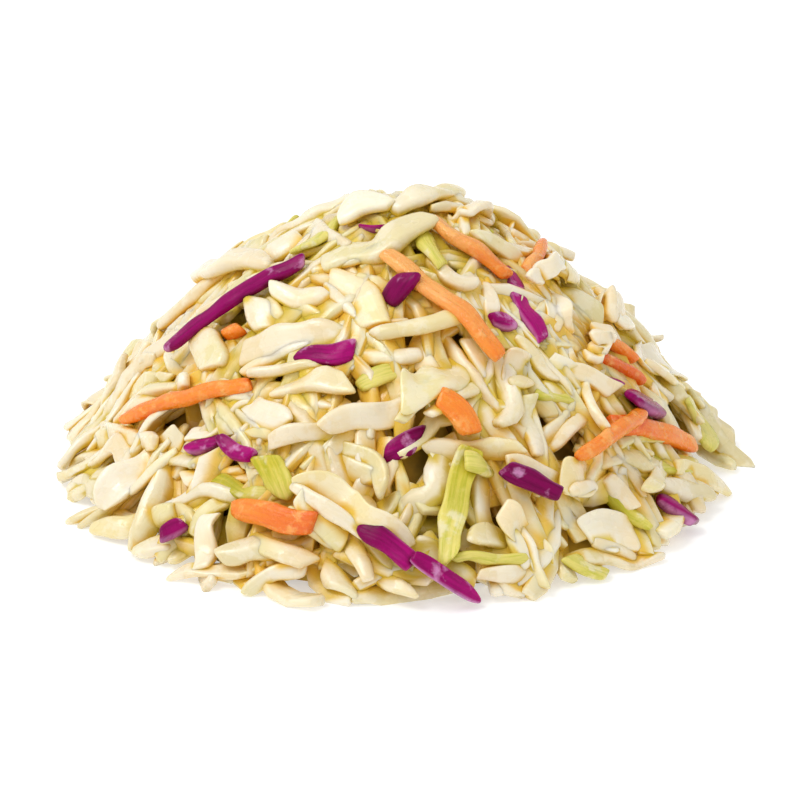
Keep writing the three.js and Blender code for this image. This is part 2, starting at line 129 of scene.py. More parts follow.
# The front's own pieces, the lowest first. Each row holds the kind; the start and the end,
# across and up from the heap's origin as seen from the seat; the width, and the width of
# each end as a share of it; and how far the middle bows to the right of the way along it.
# Small pieces, so marked, are tucked in between the large ones and carry nothing.
FRONT_ROLL = 0.25
TUCKED = "tucked"
FRONT_TABLE = """
# up the left side
white  -61 1.5  -49.5 3  4.5  0.6 0.8  -0.5
white  -58 5  -51.5 8  3.5  0.7 0.9  0
white  -56.5 10  -51 11.5  4  0.7 0.9  0  tucked
white  -54 13.5  -43.5 17.5  3.5  0.4 0.9  0
white  -49 13.5  -32 17  3.5  0.5 0.7  -0.5
white  -50.5 21  -42.5 26  2.5  0.9 0.8  0
white  -47.5 20  -42.5 24.5  4.5  0.8 0.6  0  tucked
white  -42 23.5  -38 29.5  3.5  0.8 0.8  -0.5
white  -38 29.5  -27.5 32.5  2.5  0.7 0.8  0  tucked
white  -36.5 33  -24.5 39  4.5  0.6 0.8  -1
red  -42 20.5  -17.5 38  3.5  0.6 0.8  -0.5
carrot  -33.5 24.5  -30 26.5  3.5  0.8 0.9  0
white  -37 24.5  -35 18  6.5  0.6 0.8  0
white  -26.5 31  -25 26  6  0.8 0.7  0
white  -53 6  -45 4  4.5  0.6 0.7  0  tucked
carrot  -50.5 8  -28 15.5  3.5  0.5 0.9  -1
# over the crown
green  -18 40  -15 46  7.5  0.8 0.9  0
white  -11.5 45  -1.5 47.5  4.5  0.4 0.5  -1
white  -1.5 48  5.5 48.5  3.5  0.6 0.8  -1  tucked
white  -1 47  11 51.5  4.5  0.5 0.8  0
green  12 45  18 44.5  2.5  0.6 0.6  0.5  tucked
white  9.5 47  22 46  4  0.6 0.8  -0.5
white  16 44.5  22 40  2.5  0.8 0.4  0  tucked
white  14 41  23.5 39.5  3.5  0.7 0.3  -1
red  -8 45.5  -2.5 45  1.5  0.4 0.8  0.5
carrot  24 36.5  26 41  3  0.9 0.7  0.5
# down the right side
white  27.5 36.5  35 34.5  6  0.6 0.9  -0.5
white  23.5 33.5  27.5 36  4  0.7 0.8  0  tucked
white  28.5 33  38 26.5  7.5  0.7 0.9  -0.5
white  36.5 30  43.5 26  7.5  0.6 0.6  -0.5
white  44 22  51 17  8  0.6 0.9  0
green  53 12.5  58 4  6.5  0.7 0.4  -1
white  52 -0.5  61 -3.5  4  0.8 0.2  0
green  49.5 2.5  56.5 0.5  6  0.6 0.8  0  tucked
white  48.5 -2  58.5 -6  4.5  0.5 0.3  -0.5
carrot  38 24  44.5 20  2.5  0.5 0.9  -0.5
carrot  37.5 20.5  46 16  2.5  0.9 0.5  -0.5
red  36 17.5  43 15.5  2  0.7 0.4  0
red  42 11.5  49.5 11.5  5.5  0.8 0.6  -0.5
carrot  39.5 8.5  55 4.5  4.5  0.9 0.7  -0.5
carrot  31.5 0.5  44.5 9.5  3.5  0.6 0.9  0
white  43 4  48.5 3  3  0.4 0.8  1  tucked
white  -40.5 5.5  -34 9.5  4  0.7 0.9  0  tucked
# the left of the front
red  -40.5 3  -34 5  4  0.2 0.7  -0.5
red  -33.5 5.5  -27.5 1  3.5  0.5 0.7  0.5
white  -40 1  -30.5 0.5  2.5  0.6 0.8  0.5  tucked
white  -41.5 -2.5  -35.5 -1.5  4.5  0.7 0.9  0  tucked
white  -29 7.5  -26.5 4  4.5  0.8 0.7  0  tucked
white  -31.5 11  -20.5 7  7.5  0.8 0.5  -0.5
white  -61 -3.5  -50.5 -2  4.5  0.2 0.8  0.5
white  -60.5 -9.5  -51.5 -7.5  2  0.6 0.9  0  tucked
white  -54 -8.5  -41.5 7  7.5  0.2 0.4  -0.5
white  -56.5 -12  -42 -7.5  4.5  0.6 0.8  0.5
green  -35.5 -2  -22 -6  3.5  0.8 0.3  -0.5
green  -25 2  -21.5 -6  6  0.9 0.2  0
white  -44 -6  -30.5 -4.5  3  0.5 0.7  -0.5  tucked
white  -49 -15.5  -42.5 -14  4.5  0.2 0.8  0
red  -43 -13.5  -40 -11  4  0.7 0.7  0
white  -35.5 -7.5  -39 -12.5  3.5  0.7 0.8  -0.5  tucked
white  -43.5 -21  -24 -16.5  3  0.4 0.8  0.5
white  -32.5 -16.5  -24 -15  5.5  0.5 0.8  0  tucked
white  -35 -8.5  -37 -19.5  4  0.8 0.9  0
carrot  -31.5 -7.5  -15 -11  5.5  0.6 0.9  0.5
white  -29 -23  -17.5 -18  3.5  0.5 0.7  -0.5
white  -28 -13  -16.5 -18.5  4  0.8 0.9  -0.5
white  -15 13  -10 11.5  4.5  0.6 0.6  0  tucked
# the middle
red  -20.5 20.5  -8.5 22  4.5  0.3 0.9  -0.5
white  -30 21  -10 26  6  0.9 0.5  -0.5
white  -28 16.5  -20 18.5  2  0.8 0.8  0  tucked
green  -8.5 15.5  0.5 18  4.5  0.7 0.9  0
white  -24 14  -9 16  5  0.6 0.9  -1
white  -9 0  -4 -3  4.5  0.6 0.8  0  tucked
red  -3 2.5  4 5  5.5  0.4 0.8  0
white  -18 -5.5  -10 -13.5  6  0.6 0.9  0.5
white  3 -13.5  7.5 -19.5  5  0.7 0.8  0
white  6 -19.5  13.5 -22.5  4  0.6 0.8  -0.5
white  13 -14  23 -18.5  3.5  0.5 0.7  0.5
red  -7.5 -11.5  2 -19.5  4.5  0.2 1  -0.5
white  -18.5 -3  1 -15.5  7  0.2 0.6  -0.5
white  -13.5 -17.5  -9.5 -24.5  5  0.7 0.3  0
white  -8.5 -17  -6.5 -22  3.5  0.7 0.9  0  tucked
white  -4.5 -19.5  2.5 -25  3  0.6 0.4  0
red  2 -18  14.5 -24.5  3.5  0.9 0.2  0
white  0 -11  2 -7.5  2.5  0.8 0.9  0  tucked
white  0 -4  6.5 -8.5  4.5  0.8 0.8  0
white  -11.5 5.5  -2 -4.5  3.5  0.5 0.9  -1.5
white  -12.5 6  -18 -1  2.5  0.8 0.7  0  tucked
white  -24 3.5  -10 7.5  3.5  0.8 0.8  -0.5
white  -14.5 7  3.5 11.5  5  0.6 0.9  -0.5
carrot  6.5 11.5  13 5  5.5  0.8 0.8  -1
white  0 11  12 19.5  8.5  0.8 0.7  0
white  -0.5 7  1.5 9.5  2.5  0.9 0.9  0  tucked
white  12.5 3.5  22.5 3  4.5  0.6 0.5  -0.5  tucked
white  16.5 12.5  22.5 10.5  3.5  0.7 0.8  0  tucked
white  12.5 14  21 4.5  4  0.9 0.8  -0.5
white  4.5 -2.5  10.5 -0.5  3.5  0.6 0.9  0  tucked
green  12.5 3  8.5 -18.5  5  1.2 0.7  0.5
green  11.5 -0.5  17 0.5  5  0.8 0.6  0
white  -2.5 28  2 27  2.5  0.7 0.7  0  tucked
# above the middle
red  -2 30.5  1.5 34.5  5.5  0.7 0.8  0
white  -5.5 21.5  4.5 21  3.5  0.7 0.5  -0.5  tucked
white  -24 32.5  -14 33  4  0.7 0.8  1.5
white  -24.5 34.5  -16 36.5  2  0.8 0.7  -1  tucked
white  -12.5 36.5  -4.5 26  6.5  0.7 0.7  -0.5
white  -15 38  5.5 45  6  0.7 0.7  0.5
white  11.5 35.5  15.5 27  7.5  0.8 0.6  -0.5
white  4.5 38  14.5 34.5  3.5  0.5 0.6  1.5
green  5 41.5  8 36.5  4  0.9 0.7  0  tucked
white  10 48.5  13.5 42.5  2.5  0.7 0.9  0  tucked
red  17 27  21.5 26.5  4  0.6 0.7  0
carrot  -2.5 38.5  18 19  4.5  0.8 0.8  -1
white  -5 23.5  12 27.5  3  0.7 0.9  0
carrot  5.5 45  20 35  3.5  0.7 0.9  0
white  23.5 36  27.5 26  2.5  0.8 0.6  0  tucked
red  20.5 38  27 23.5  4.5  1.1 0.8  0.5
# the right of the front
white  12.5 -11.5  21 -14  4.5  0.7 0.7  -0.5
green  9.5 -17.5  15.5 -17.5  2.5  0.7 0.7  0  tucked
white  14 -20.5  21 -19.5  3.5  0.5 0.6  0  tucked
white  23.5 -16  26 -22.5  4  0.8 0.5  0  tucked
white  26 -8.5  32 -14.5  3.5  0.5 0.9  -0.5  tucked
white  18.5 -8  28.5 -20.5  6.5  0.6 0.3  -0.5
red  18.5 -1  28.5 -6  4  0.8 0.9  0
white  19 0.5  29.5 -3.5  4.5  0.5 0.9  0
white  19.5 19  25 18  7.5  0.8 0.6  0
green  25.5 14  34.5 12.5  3.5  0.7 0.8  -0.5
white  23.5 13.5  25.5 2  4.5  0.9 0.9  -0.5
white  21.5 23  40 13.5  4  0.3 1  -0.5
white  36 19.5  37.5 24.5  4.5  0.7 0.8  0  tucked
white  28 31.5  32 24  5.5  0.8 0.9  -0.5
white  27.5 5  33 7.5  3  0.6 0.7  0  tucked
white  37 11.5  38.5 5.5  3  0.8 0.8  -0.5  tucked
white  29.5 -3  37 -2  7.5  0.8 0.4  0
white  44.5 -4  48 -2  3.5  0.6 0.9  0  tucked
white  39 -1.5  44 -7.5  4  0.8 0.9  0
red  48.5 -6  55 -10  4.5  0.7 0.9  -0.5
green  43.5 -8  46.5 -11.5  3  0.8 0.7  0  tucked
white  36.5 -16.5  49 -17.5  3.5  0.5 0.5  0  tucked
white  35 -12.5  44.5 -12  8.5  0.8 0.6  -0.5
green  31.5 -16.5  38.5 -19.5  4.5  0.8 0.6  0.5
"""

# ---------------------------------------------------------------------------------------
# The finer shreds, packed under and between the large ones
# ---------------------------------------------------------------------------------------

# Small pieces of the front, tucked in.
TUCKED_SEED = 11
TUCKED_REACH = 8  # how much further up the heap their upper end reaches
TUCKED_SINK = 0.3  # how deep they lie in what carries them,
TUCKED_DIP = 3  # and how much deeper at that end

# White shreds of the front from this far up stand off the crown, by this at their far end.
CROWN_UP = 44
CROWN_LIFT = 2.5
# How far coloured pieces of the front stand out from those laid over them.
SHOWN_RISE = 0.1
SAME_LINE = 2  # nearer to its own line than this, what carries is the piece itself

# The upper left of the front, up to here across and from here on up as seen from the seat
# and facing it more than this, is of fewer and thicker shreds.
THICK_PART = (10, 15)
THICK_FACING = -0.05
THICK_WIDTH = 1.12

# Shreds laid on the back and the sides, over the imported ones.
BACK_SEED = 23
BACK_COUNT = 110
BACK_FACING = -0.05  # no part of one faces it more than this
PLAIN_FACING = -0.55  # those that face it more than this are white cabbage
BACK_OUTLINE = (-0.75, -0.3)  # from the back proper to the heap's outline,
BACK_CROWDED = (2.6, 0.3)  # how high they lie uncrowded,
OUTLINE_SINK = 1.3  # and how much deeper they lie at the outline

# Short shreds in the deepest gaps of the front.
GAP_SEED = 31
GAP_COUNT = 250
GAP_TRIES = 40
GAP_LEVEL = 2.4  # how high over the core a gap still is one
GAP_SINK = 0.7
GAP_FAN = 0.8  # where the way out points up by less than this, they run down the slope
KEPT_CLEAR = 1.8  # how far their middle keeps from the coloured pieces of the front

# Short shreds round the heap's outline, one end of each standing off it.
RIM_SEED = 61
RIM_COUNT = 30
RIM_TOP = 40  # up to where they lie
RIM_FACING = (-0.3, 0.12)
RIM_SWAY = 0.7
RIM_SINK = 2.4
RIM_LIFT = (0.5, 4.5)  # how much higher that end stands than the other

# The bed that all of these lie on.
BED_SEED = 47
BED_COUNT = 560
BED_DEPTH = 4.5  # how far under the feet of the others its own floor is
BED_TOP = 1.5  # how far it may stand over those feet

Heap = namedtuple("Heap", "height radius side_power foot_softness cover cover_full_at")
Row = namedtuple("Row", "kind start end width ends bow role")


def front_rows():
    """The rows of the front's table, whose lines that start with # name its parts."""
    rows = []
    for line in FRONT_TABLE.strip().splitlines():
        kind, *words = line.split()
        if kind != "#":
            role = words.pop() if words[-1] == TUCKED else "front"
            *ends, width, first, last, bow = map(float, words)
            rows.append(Row(kind, ends[:2], ends[2:], width, (first, last), bow, role))
    return rows


class Shred:
    """One shred: its cut, the spots of the core that it lies over and, once laid, its line."""

    def __init__(self, kind, role, feet, outs, width, ends, roll, twist):
        self.kind = kind
        self.role = role
        self.feet = feet
        self.outs = outs
        self.width = width
        self.ends = ends
        self.roll = roll
        self.twist = twist
        self.line = None

    def width_at(self, share):
        """Full in the middle, narrowing to each end's share."""
        end = self.ends[0] if share < 0.5 else self.ends[1]
        return self.width * (1 + (end - 1) * (2 * share - 1) ** 2)

    def shares(self):
        """The share of the way along it of each place where it bends."""
        return np.arange(len(self.feet)) / (len(self.feet) - 1)

    def at(self, heights):
        """The line that it has at these heights over its feet."""
        return self.feet + self.outs * heights[:, None]

    def keep_off_table(self):
        self.line[:, 2] = np.maximum(self.line[:, 2], THICKNESS[self.kind] / 2)


class Bedding:
    """What the shreds laid so far take up: the points that carry the next one."""

    def __init__(self):
        self.at = np.empty((0, 3))
        self.half_width = np.empty(0)
        self.half_thickness = np.empty(0)

    def add(self, shred, free):
        """Takes in a shred whose free, unpressed line is given, with a point between each two."""
        last = len(free) - 1
        points = [(free[i // 2] + free[(i + 1) // 2]) / 2 for i in range(2 * last + 1)]
        widths = [shred.width_at(i / 2 / last) / 2 for i in range(2 * last + 1)]
        self.at = np.vstack([self.at, points])
        self.half_width = np.append(self.half_width, widths)
        half = THICKNESS[shred.kind] / 2
        self.half_thickness = np.append(self.half_thickness, [half] * len(widths))

    def without(self, left_out):
        """The same bedding without some of its points."""
        rest = Bedding()
        rest.at, rest.half_width = self.at[~left_out], self.half_width[~left_out]
        rest.half_thickness = self.half_thickness[~left_out]
        return rest

    def reached(self, foot, out, half_width):
        """How high over a spot's foot the shreds there already reach."""
        apart = self.at - foot
        height = apart @ out
        aside = np.sqrt(np.maximum(0, (apart**2).sum(axis=1) - height**2))
        reach = REACH * (half_width + self.half_width)
        top = height + self.half_thickness * (1 - EDGE_FALL * (aside / reach) ** 2)
        return max(0, top[aside < reach].max(initial=0))


def number_stream(seed):
    """The same run of numbers from 0 to 1 every time, as a function without arguments."""

    def numbers():
        state = seed
        while True:
            state = (state * 1664525 + 1013904223) % 2**32
            yield state / 2**32

    return numbers().__next__


def between(ends, share):
    return ends[0] + (ends[1] - ends[0]) * share


def either_way(draw):
    """A draw between -1 and 1."""
    return 2 * draw() - 1


def random_kind(out, draw):
    """Any kind on the far side. On the seat's, the coloured ones are all in the layout."""
    if out @ SEAT > 0:
        return "white"
    share = draw()
    return next(kind for up_to, kind in MIX if share < up_to)


def smooth_step(value, low, high):
    share = np.clip((value - low) / (high - low), 0, 1)
    return share * share * (3 - 2 * share)


def outer_height(heap, x, y):
    """Height of the heap's outer form over a point of the table."""
    rise = heap.height * (1 - (np.hypot(x, y) / heap.radius) ** heap.side_power)
    return (rise + np.hypot(rise, heap.foot_softness)) / 2


def spots_under(heap, x, y):
    """Where pieces at these places start from, on the core, and the ways out from there."""
    x, y = np.asarray(x, float), np.asarray(y, float)
    pull = np.minimum(1, (heap.radius + FOOT_POKE) / np.maximum(np.hypot(x, y), 1e-9))
    x, y = x * pull, y * pull
    step = SLOPE_STEP
    height = outer_height(heap, x, y)
    slope_x = (outer_height(heap, x - step, y) - outer_height(heap, x + step, y)) / (2 * step)
    slope_y = (outer_height(heap, x, y - step) - outer_height(heap, x, y + step)) / (2 * step)
    outs = unit(np.stack([slope_x, slope_y, np.ones_like(x)], axis=1))
    covered = smooth_step(height, 0, heap.cover_full_at)
    depth = between((heap.foot_softness / 2, heap.cover), covered)
    feet = np.stack([x, y, height], axis=1) - outs * depth[:, None]
    feet[:, 2] = np.maximum(feet[:, 2], 0)
    return feet, outs


def unit(vectors):
    return vectors / np.linalg.norm(vectors, axis=1)[:, None]


def place_seen(heap, across, up):
    """The place that the seat sees across and up from the origin, or the nearest to that line."""
    eye = SEAT * VIEW_DISTANCE
    way = SEEN_UP * up - eye
    way[0] += across
    way /= np.linalg.norm(way)
    ahead = VIEW_DISTANCE + np.arange(-2 * heap.radius, 2 * heap.radius, SIGHT_STEP)
    points = eye + way * ahead[:, None]
    clear = points[:, 2] - outer_height(heap, points[:, 0], points[:, 1])
    met = np.flatnonzero(clear <= 0)
    nearest = met[0] if len(met) else np.argmin(clear)
    return points[nearest, 0], points[nearest, 1]


def shares_along(length):
    """The shares of the way along a shred at which it can bend, ends included."""
    steps = max(2, math.floor(length / STEP_LENGTH + 0.5))
    return np.arange(steps + 1) / steps


def bowed(shares, bow):
    """How far aside a bowed line is at these shares of its length."""
    return bow * 4 * shares * (1 - shares)


def front_shred(heap, row, draw):
    """A piece of the front. The upper end of a tucked one reaches further into the heap."""
    start, end = np.array(row.start, float), np.array(row.end, float)
    if row.role == TUCKED:
        if start[1] > end[1]:
            start, end = end, start
        end = end + (end - start) / np.hypot(*(end - start)) * TUCKED_REACH
    way = end - start
    length = math.hypot(*way)
    right = np.array([way[1], -way[0]]) / length
    shares = shares_along(length)[:, None]
    seen = start + way * shares + right * bowed(shares, row.bow)
    places = [place_seen(heap, *spot) for spot in seen]
    feet, outs = spots_under(heap, *np.transpose(places))
    roll, twist = FRONT_ROLL * either_way(draw), FRONT_ROLL * either_way(draw)
    return Shred(row.kind, row.role, feet, outs, row.width, row.ends, roll, twist)


def random_spot(heap, draw):
    """A random place: its direction from the middle, where it is, its foot and its out."""
    around = 2 * math.pi * draw()
    radius = heap.radius * SPREAD * math.sqrt(draw())
    place = np.array([radius * math.cos(around), radius * math.sin(around)])
    feet, outs = spots_under(heap, place[:1], place[1:])
    return around, place, feet[0], outs[0]


def loose_shred(heap, place, out, kind, role, draw_heading, draw):
    """A shred of its role's batch, laid across the slope at a place, within the heap's foot."""
    batch = BATCHES[role]
    length = between(batch.length, draw())
    width = between(batch.width, draw() ** batch.narrowness)
    heading = draw_heading()
    bow = batch.bow * either_way(draw)
    ends = between(batch.ends, draw()), between(batch.ends, draw())
    roll, twist = ROLL * either_way(draw), ROLL * either_way(draw)

    way = np.array([math.cos(heading), math.sin(heading)])
    plan_length = length / math.hypot(1, (out[:2] @ way) / out[2])
    limit = heap.radius + (FOOT_POKE if role == "fill" else 0)
    past = math.hypot(*(place + way * plan_length / 2)) - limit
    middle = place - way * max(0, past)
    shares = shares_along(length)
    ahead, aside = (shares - 0.5) * plan_length, bowed(shares, bow)
    x = middle[0] + way[0] * ahead - way[1] * aside
    y = middle[1] + way[1] * ahead + way[0] * aside
    feet, outs = spots_under(heap, x, y)
    return Shred(kind, role, feet, outs, width, ends, roll, twist)


def fill_shred(heap, crowd, draw, role):
    """A loose shred in the least crowded of a few random places, about down the slope."""
    fewest = None
    for _ in range(FILL_TRIES):
        spot = random_spot(heap, draw)
        near = np.count_nonzero(np.linalg.norm(crowd - spot[2], axis=1) < FILL_SPACING)
        if fewest is None or near < fewest:
            fewest, (around, place, _, out) = near, spot
    kind = random_kind(out, draw)
    sway = BACK_SWAY if out @ SEAT < BACK_FROM else FILL_SWAY

    def heading():
        return around + sway * either_way(draw)

    return loose_shred(heap, place, out, kind, role, heading, draw)


def settled_heights(shred, bedding):
    """How high over each of its feet the middle of a shred comes to rest."""
    last = len(shred.feet) - 1
    sag = SAG[shred.kind]
    carried = [
        bedding.reached(foot, out, shred.width_at(i / last) / 2)
        for i, (foot, out) in enumerate(zip(shred.feet, shred.outs))
    ]
    height = list(carried)
    for _ in range(SETTLING_ROUNDS):
        for i in range(1, last):
            height[i] = max(carried[i], (height[i - 1] + height[i + 1]) / 2 - sag)
        height[0] = max(carried[0], 2 * height[1] - height[2] - 2 * sag)
        height[last] = max(carried[last], 2 * height[last - 1] - height[last - 2] - 2 * sag)
    return np.array(height) + THICKNESS[shred.kind] / 2 - BITE


def press(heights, crowded=CROWDED, pressed=PRESSED):
    """Shreds over this height press into each other."""
    return np.minimum(heights, crowded) + pressed * np.maximum(0, heights - crowded)


def lay(shred, bedding, crowded=CROWDED):
    """Lets a shred come to rest, and adds it to what carries the next ones."""
    heights = settled_heights(shred, bedding)
    bedding.add(shred, shred.at(heights))
    shred.line = shred.at(press(heights, crowded))


def tuck(shred, bedding):
    """Lays a small shred with its upper end in what carries it, and lets it carry nothing."""
    heights = press(settled_heights(shred, bedding))
    level = heights[: len(heights) // 2 + 1].mean()
    heights = level - (TUCKED_SINK + TUCKED_DIP * shred.shares() ** 1.5)
    shred.line = shred.at(np.maximum(heights, -BED_DEPTH / 2))


def dense_line(shred):
    """Points about 2 mm apart along a laid shred."""
    steps = np.linspace(0, len(shred.line) - 1, 4 * len(shred.line))
    whole = np.arange(len(shred.line))
    return np.column_stack([np.interp(steps, whole, column) for column in shred.line.T])


def bring_out(shred, bedding):
    """Raises a coloured shred of the front to just over those laid over it."""
    near = np.linalg.norm(bedding.at[:, None] - dense_line(shred), axis=2).min(axis=1)
    own = (bedding.half_thickness == THICKNESS[shred.kind] / 2) & (near < SAME_LINE)
    over = press(settled_heights(shred, bedding.without(own))) + SHOWN_RISE
    heights = ((shred.line - shred.feet) * shred.outs).sum(axis=1)
    shred.line = shred.at(np.maximum(heights, over))


def stand_off(shred):
    """Lifts a shred of the crown, the more the further along it."""
    shred.line = shred.line + shred.outs * (CROWN_LIFT * shred.shares())[:, None]


def is_thick(shred):
    """Whether a shred lies in the part of thicker shreds."""
    middle = shred.line.mean(axis=0)
    in_part = middle[0] < THICK_PART[0] and middle @ SEEN_UP > THICK_PART[1]
    return shred.kind == "white" and in_part and (shred.outs @ SEAT).mean() > THICK_FACING


def gap_shred(heap, bedding, coloured, draw):
    """A short shred in the deepest of a few gaps of the front, or None where none is deep."""
    deepest = None
    for _ in range(GAP_TRIES):
        _, tried, foot, way_out = random_spot(heap, draw)
        if way_out @ SEAT < 0:
            continue
        reached = bedding.reached(foot, way_out, BATCHES["gap"].width[0])
        if deepest is None or reached < deepest:
            deepest, place, out = reached, tried, way_out
    if deepest > GAP_LEVEL:
        return None

    def heading():
        if out[2] > GAP_FAN:
            return math.pi * draw()
        return math.atan2(out[1], out[0]) + FILL_SWAY * either_way(draw)

    shred = loose_shred(heap, place, out, "white", "gap", heading, draw)
    tilt = either_way(draw) * (shred.shares() - 0.5) * THICKNESS["white"]
    shred.line = shred.at(deepest + THICKNESS["white"] / 2 - GAP_SINK + tilt)
    apart = np.linalg.norm(dense_line(shred)[:, None] - coloured[:, :3], axis=2)
    if (apart - coloured[:, 3]).min() < KEPT_CLEAR:
        return None
    bedding.add(shred, shred.line)
    return shred


def rim_shred(heap, bedding, draw):
    """A short shred at the heap's outline, one end of it standing off the slope."""
    while True:
        around, place, foot, out = random_spot(heap, draw)
        if foot[2] < RIM_TOP and RIM_FACING[0] < out @ SEAT < RIM_FACING[1]:
            break

    def heading():
        return around + RIM_SWAY * either_way(draw)

    shred = loose_shred(heap, place, out, "white", "rim", heading, draw)
    level = press(settled_heights(shred, bedding)).mean() - RIM_SINK
    shred.line = shred.at(level + (shred.shares() - 0.5) * between(RIM_LIFT, draw()))
    shred.keep_off_table()
    bedding.add(shred, shred.line)
    return shred


def bed_shred(heap, bedding, draw):
    """A fine shred of the bed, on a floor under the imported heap's core."""
    around, place, _, out = random_spot(heap, draw)
    kind = random_kind(out, draw)

    def heading():
        return around + math.pi * either_way(draw) * draw()

    shred = loose_shred(heap, place, out, kind, "bed", heading, draw)
    shred.feet = shred.feet - shred.outs * BED_DEPTH
    heights = press(settled_heights(shred, bedding), BED_DEPTH, 0)
    shred.line = shred.at(np.minimum(heights, BED_DEPTH + BED_TOP - THICKNESS[kind] / 2))
    bedding.add(shred, shred.line)
    shred.keep_off_table()
    return shred


def back_shreds(heap, crowd, bedding, draw):
    """The shreds over the back and the sides, flatter and deeper towards the outline."""
    back = []
    while len(back) < BACK_COUNT:
        shred = fill_shred(heap, crowd, draw, "back")
        crowd = np.vstack([crowd, shred.feet])
        facing = (shred.outs @ SEAT).max()
        if facing < BACK_FACING:
            if facing > PLAIN_FACING:
                shred.kind = "white"
            outline = smooth_step(facing, *BACK_OUTLINE)
            lay(shred, bedding, between(BACK_CROWDED, outline))
            shred.line = shred.line - shred.outs * OUTLINE_SINK * outline
            back.append(shred)
    return back


@lru_cache(maxsize=1)
def laid_shreds(heap):
    """Every shred of the heap, in place."""
    draw, tucked_draw = number_stream(FILL_SEED), random.Random(TUCKED_SEED).random
    rows = front_rows()
    front = [front_shred(heap, row, tucked_draw if row.role == TUCKED else draw) for row in rows]
    crowd = np.vstack([shred.feet for shred in front if shred.role != TUCKED])
    fill = []
    for _ in range(FILL_COUNT):
        fill.append(fill_shred(heap, crowd, draw, "fill"))
        crowd = np.vstack([crowd, fill[-1].feet])

    bedding = Bedding()
    for shred in fill + front:
        (tuck if shred.role == TUCKED else lay)(shred, bedding)
    for row, shred in zip(rows, front):
        if shred.kind in ("red", "carrot") and shred.role != TUCKED:
            bring_out(shred, bedding)
        if shred.kind == "white" and max(row.start[1], row.end[1]) > CROWN_UP:
            stand_off(shred)
    back = back_shreds(heap, crowd, bedding, random.Random(BACK_SEED).random)

    # Where the coloured pieces of the front are, and how wide they are to each side.
    coloured = [shred for shred in front if shred.kind != "white"]
    coloured = np.array([(*at, s.width / 2) for s in coloured for at in dense_line(s)])
    draw = random.Random(GAP_SEED).random
    gaps = [gap_shred(heap, bedding, coloured, draw) for _ in range(GAP_COUNT)]
    gaps = [shred for shred in gaps if shred is not None and not is_thick(shred)]
    draw = random.Random(RIM_SEED).random
    rim = [rim_shred(heap, bedding, draw) for _ in range(RIM_COUNT)]
    draw, bed_bedding = random.Random(BED_SEED).random, Bedding()
    bed = [bed_shred(heap, bed_bedding, draw) for _ in range(BED_COUNT)]

    over = fill + front + back + gaps + rim
    for shred in over:
        if is_thick(shred):
            shred.width *= THICK_WIDTH
    return over + bed


# ---------------------------------------------------------------------------------------
# Shreds as meshes
# ---------------------------------------------------------------------------------------

CUT_SEED = 5
FULLNESS = {"white": 0.94, "carrot": 0.84, "red": 0.9, "green": 0.9}  # of the laid width
TAPER = 4  # how late a shred narrows towards its ends
LEAF_WIDTH = 5.2  # from this width on, white cabbage is a flake of leaf,
THICK_LEAF_WIDTH = 7.5  # and in the part of thicker shreds from this one on

# The rings of points that a shred is made of: how far from its end the first one lies, in
# mm and at most as a share of its length, how far apart they are and how many there can be.
END_RING = (0.15, 0.8)
END_RING_SHARE = 0.15
RING_LENGTH = 1.7
BED_RING_LENGTH = 3.2
MOST_RINGS = 22
NUDGE = 0.02  # the share of the way by which the way along a line is taken

# Straight shreds of unit size, with this much cut off their edges. Points past the side
# line lie on the edge, and those are this high.
BEVEL = 0.1
EDGE_LINE = 0.45
EDGE_HEIGHT = 0.55
LEAST_SIDE = 0.35  # the least share of its width to one side that raggedness leaves,
LEAST_INNER = 0.45  # and the least share of that which rounded edges leave flat
THIN_END = 0.55  # how thick a shred still is where it has no width
SLANT_SHARES = (1, 0.85, 0.6, 0.3)  # how far the rings next to a slanting end follow it

# How long the swings of a shred's unevenness are, in mm, for each thing that is uneven.
LIFT_SWINGS = (30, 17)
LIFT_SHARE = 0.6  # how strong these are beside a plain tilt
SWAY_SWINGS = (24, 13)
THICKNESS_SWINGS = (11, 6)
THICKNESS_SHARE = 0.1
SIDE_SWINGS = (16, 9, 6)
WAVE_SWINGS = (18, 8)
CUP_RANGE = (-1, 0.6)
CUP_LEVEL = 0.4  # how far from the middle a cupped shred keeps its height
LIGHT_SPREAD = 0.03  # how unlike in lightness two shreds are
TONE_DRIFT = 0.15  # how far from the middle of a shred its two tones may meet

LEAF_PLEAT = 0.3  # how deep the pleats of a leaf are,
LEAF_PLEATS = (0.6, 1.1)  # and how many there are across half of it
PLEAT_DRIFT = 0.4  # how many of them a pleat crosses on its way along
CRUMPLE = 0.3  # how far the surface strays
CRUMPLE_PITCH = 0.22  # how often it does, per mm
TABLE_GAP = 0.02  # the lowest point of a shred
GRAIN_STEP = 7.3  # how far apart the grain of one shred and the next is

# The ribs that flakes carry, drawn through this many places each.
RIB_SEED = 13
RIB_PLACES = 4
RIB_WIDTH = (2.2, 3.4)
RIB_LIFT = 0.15

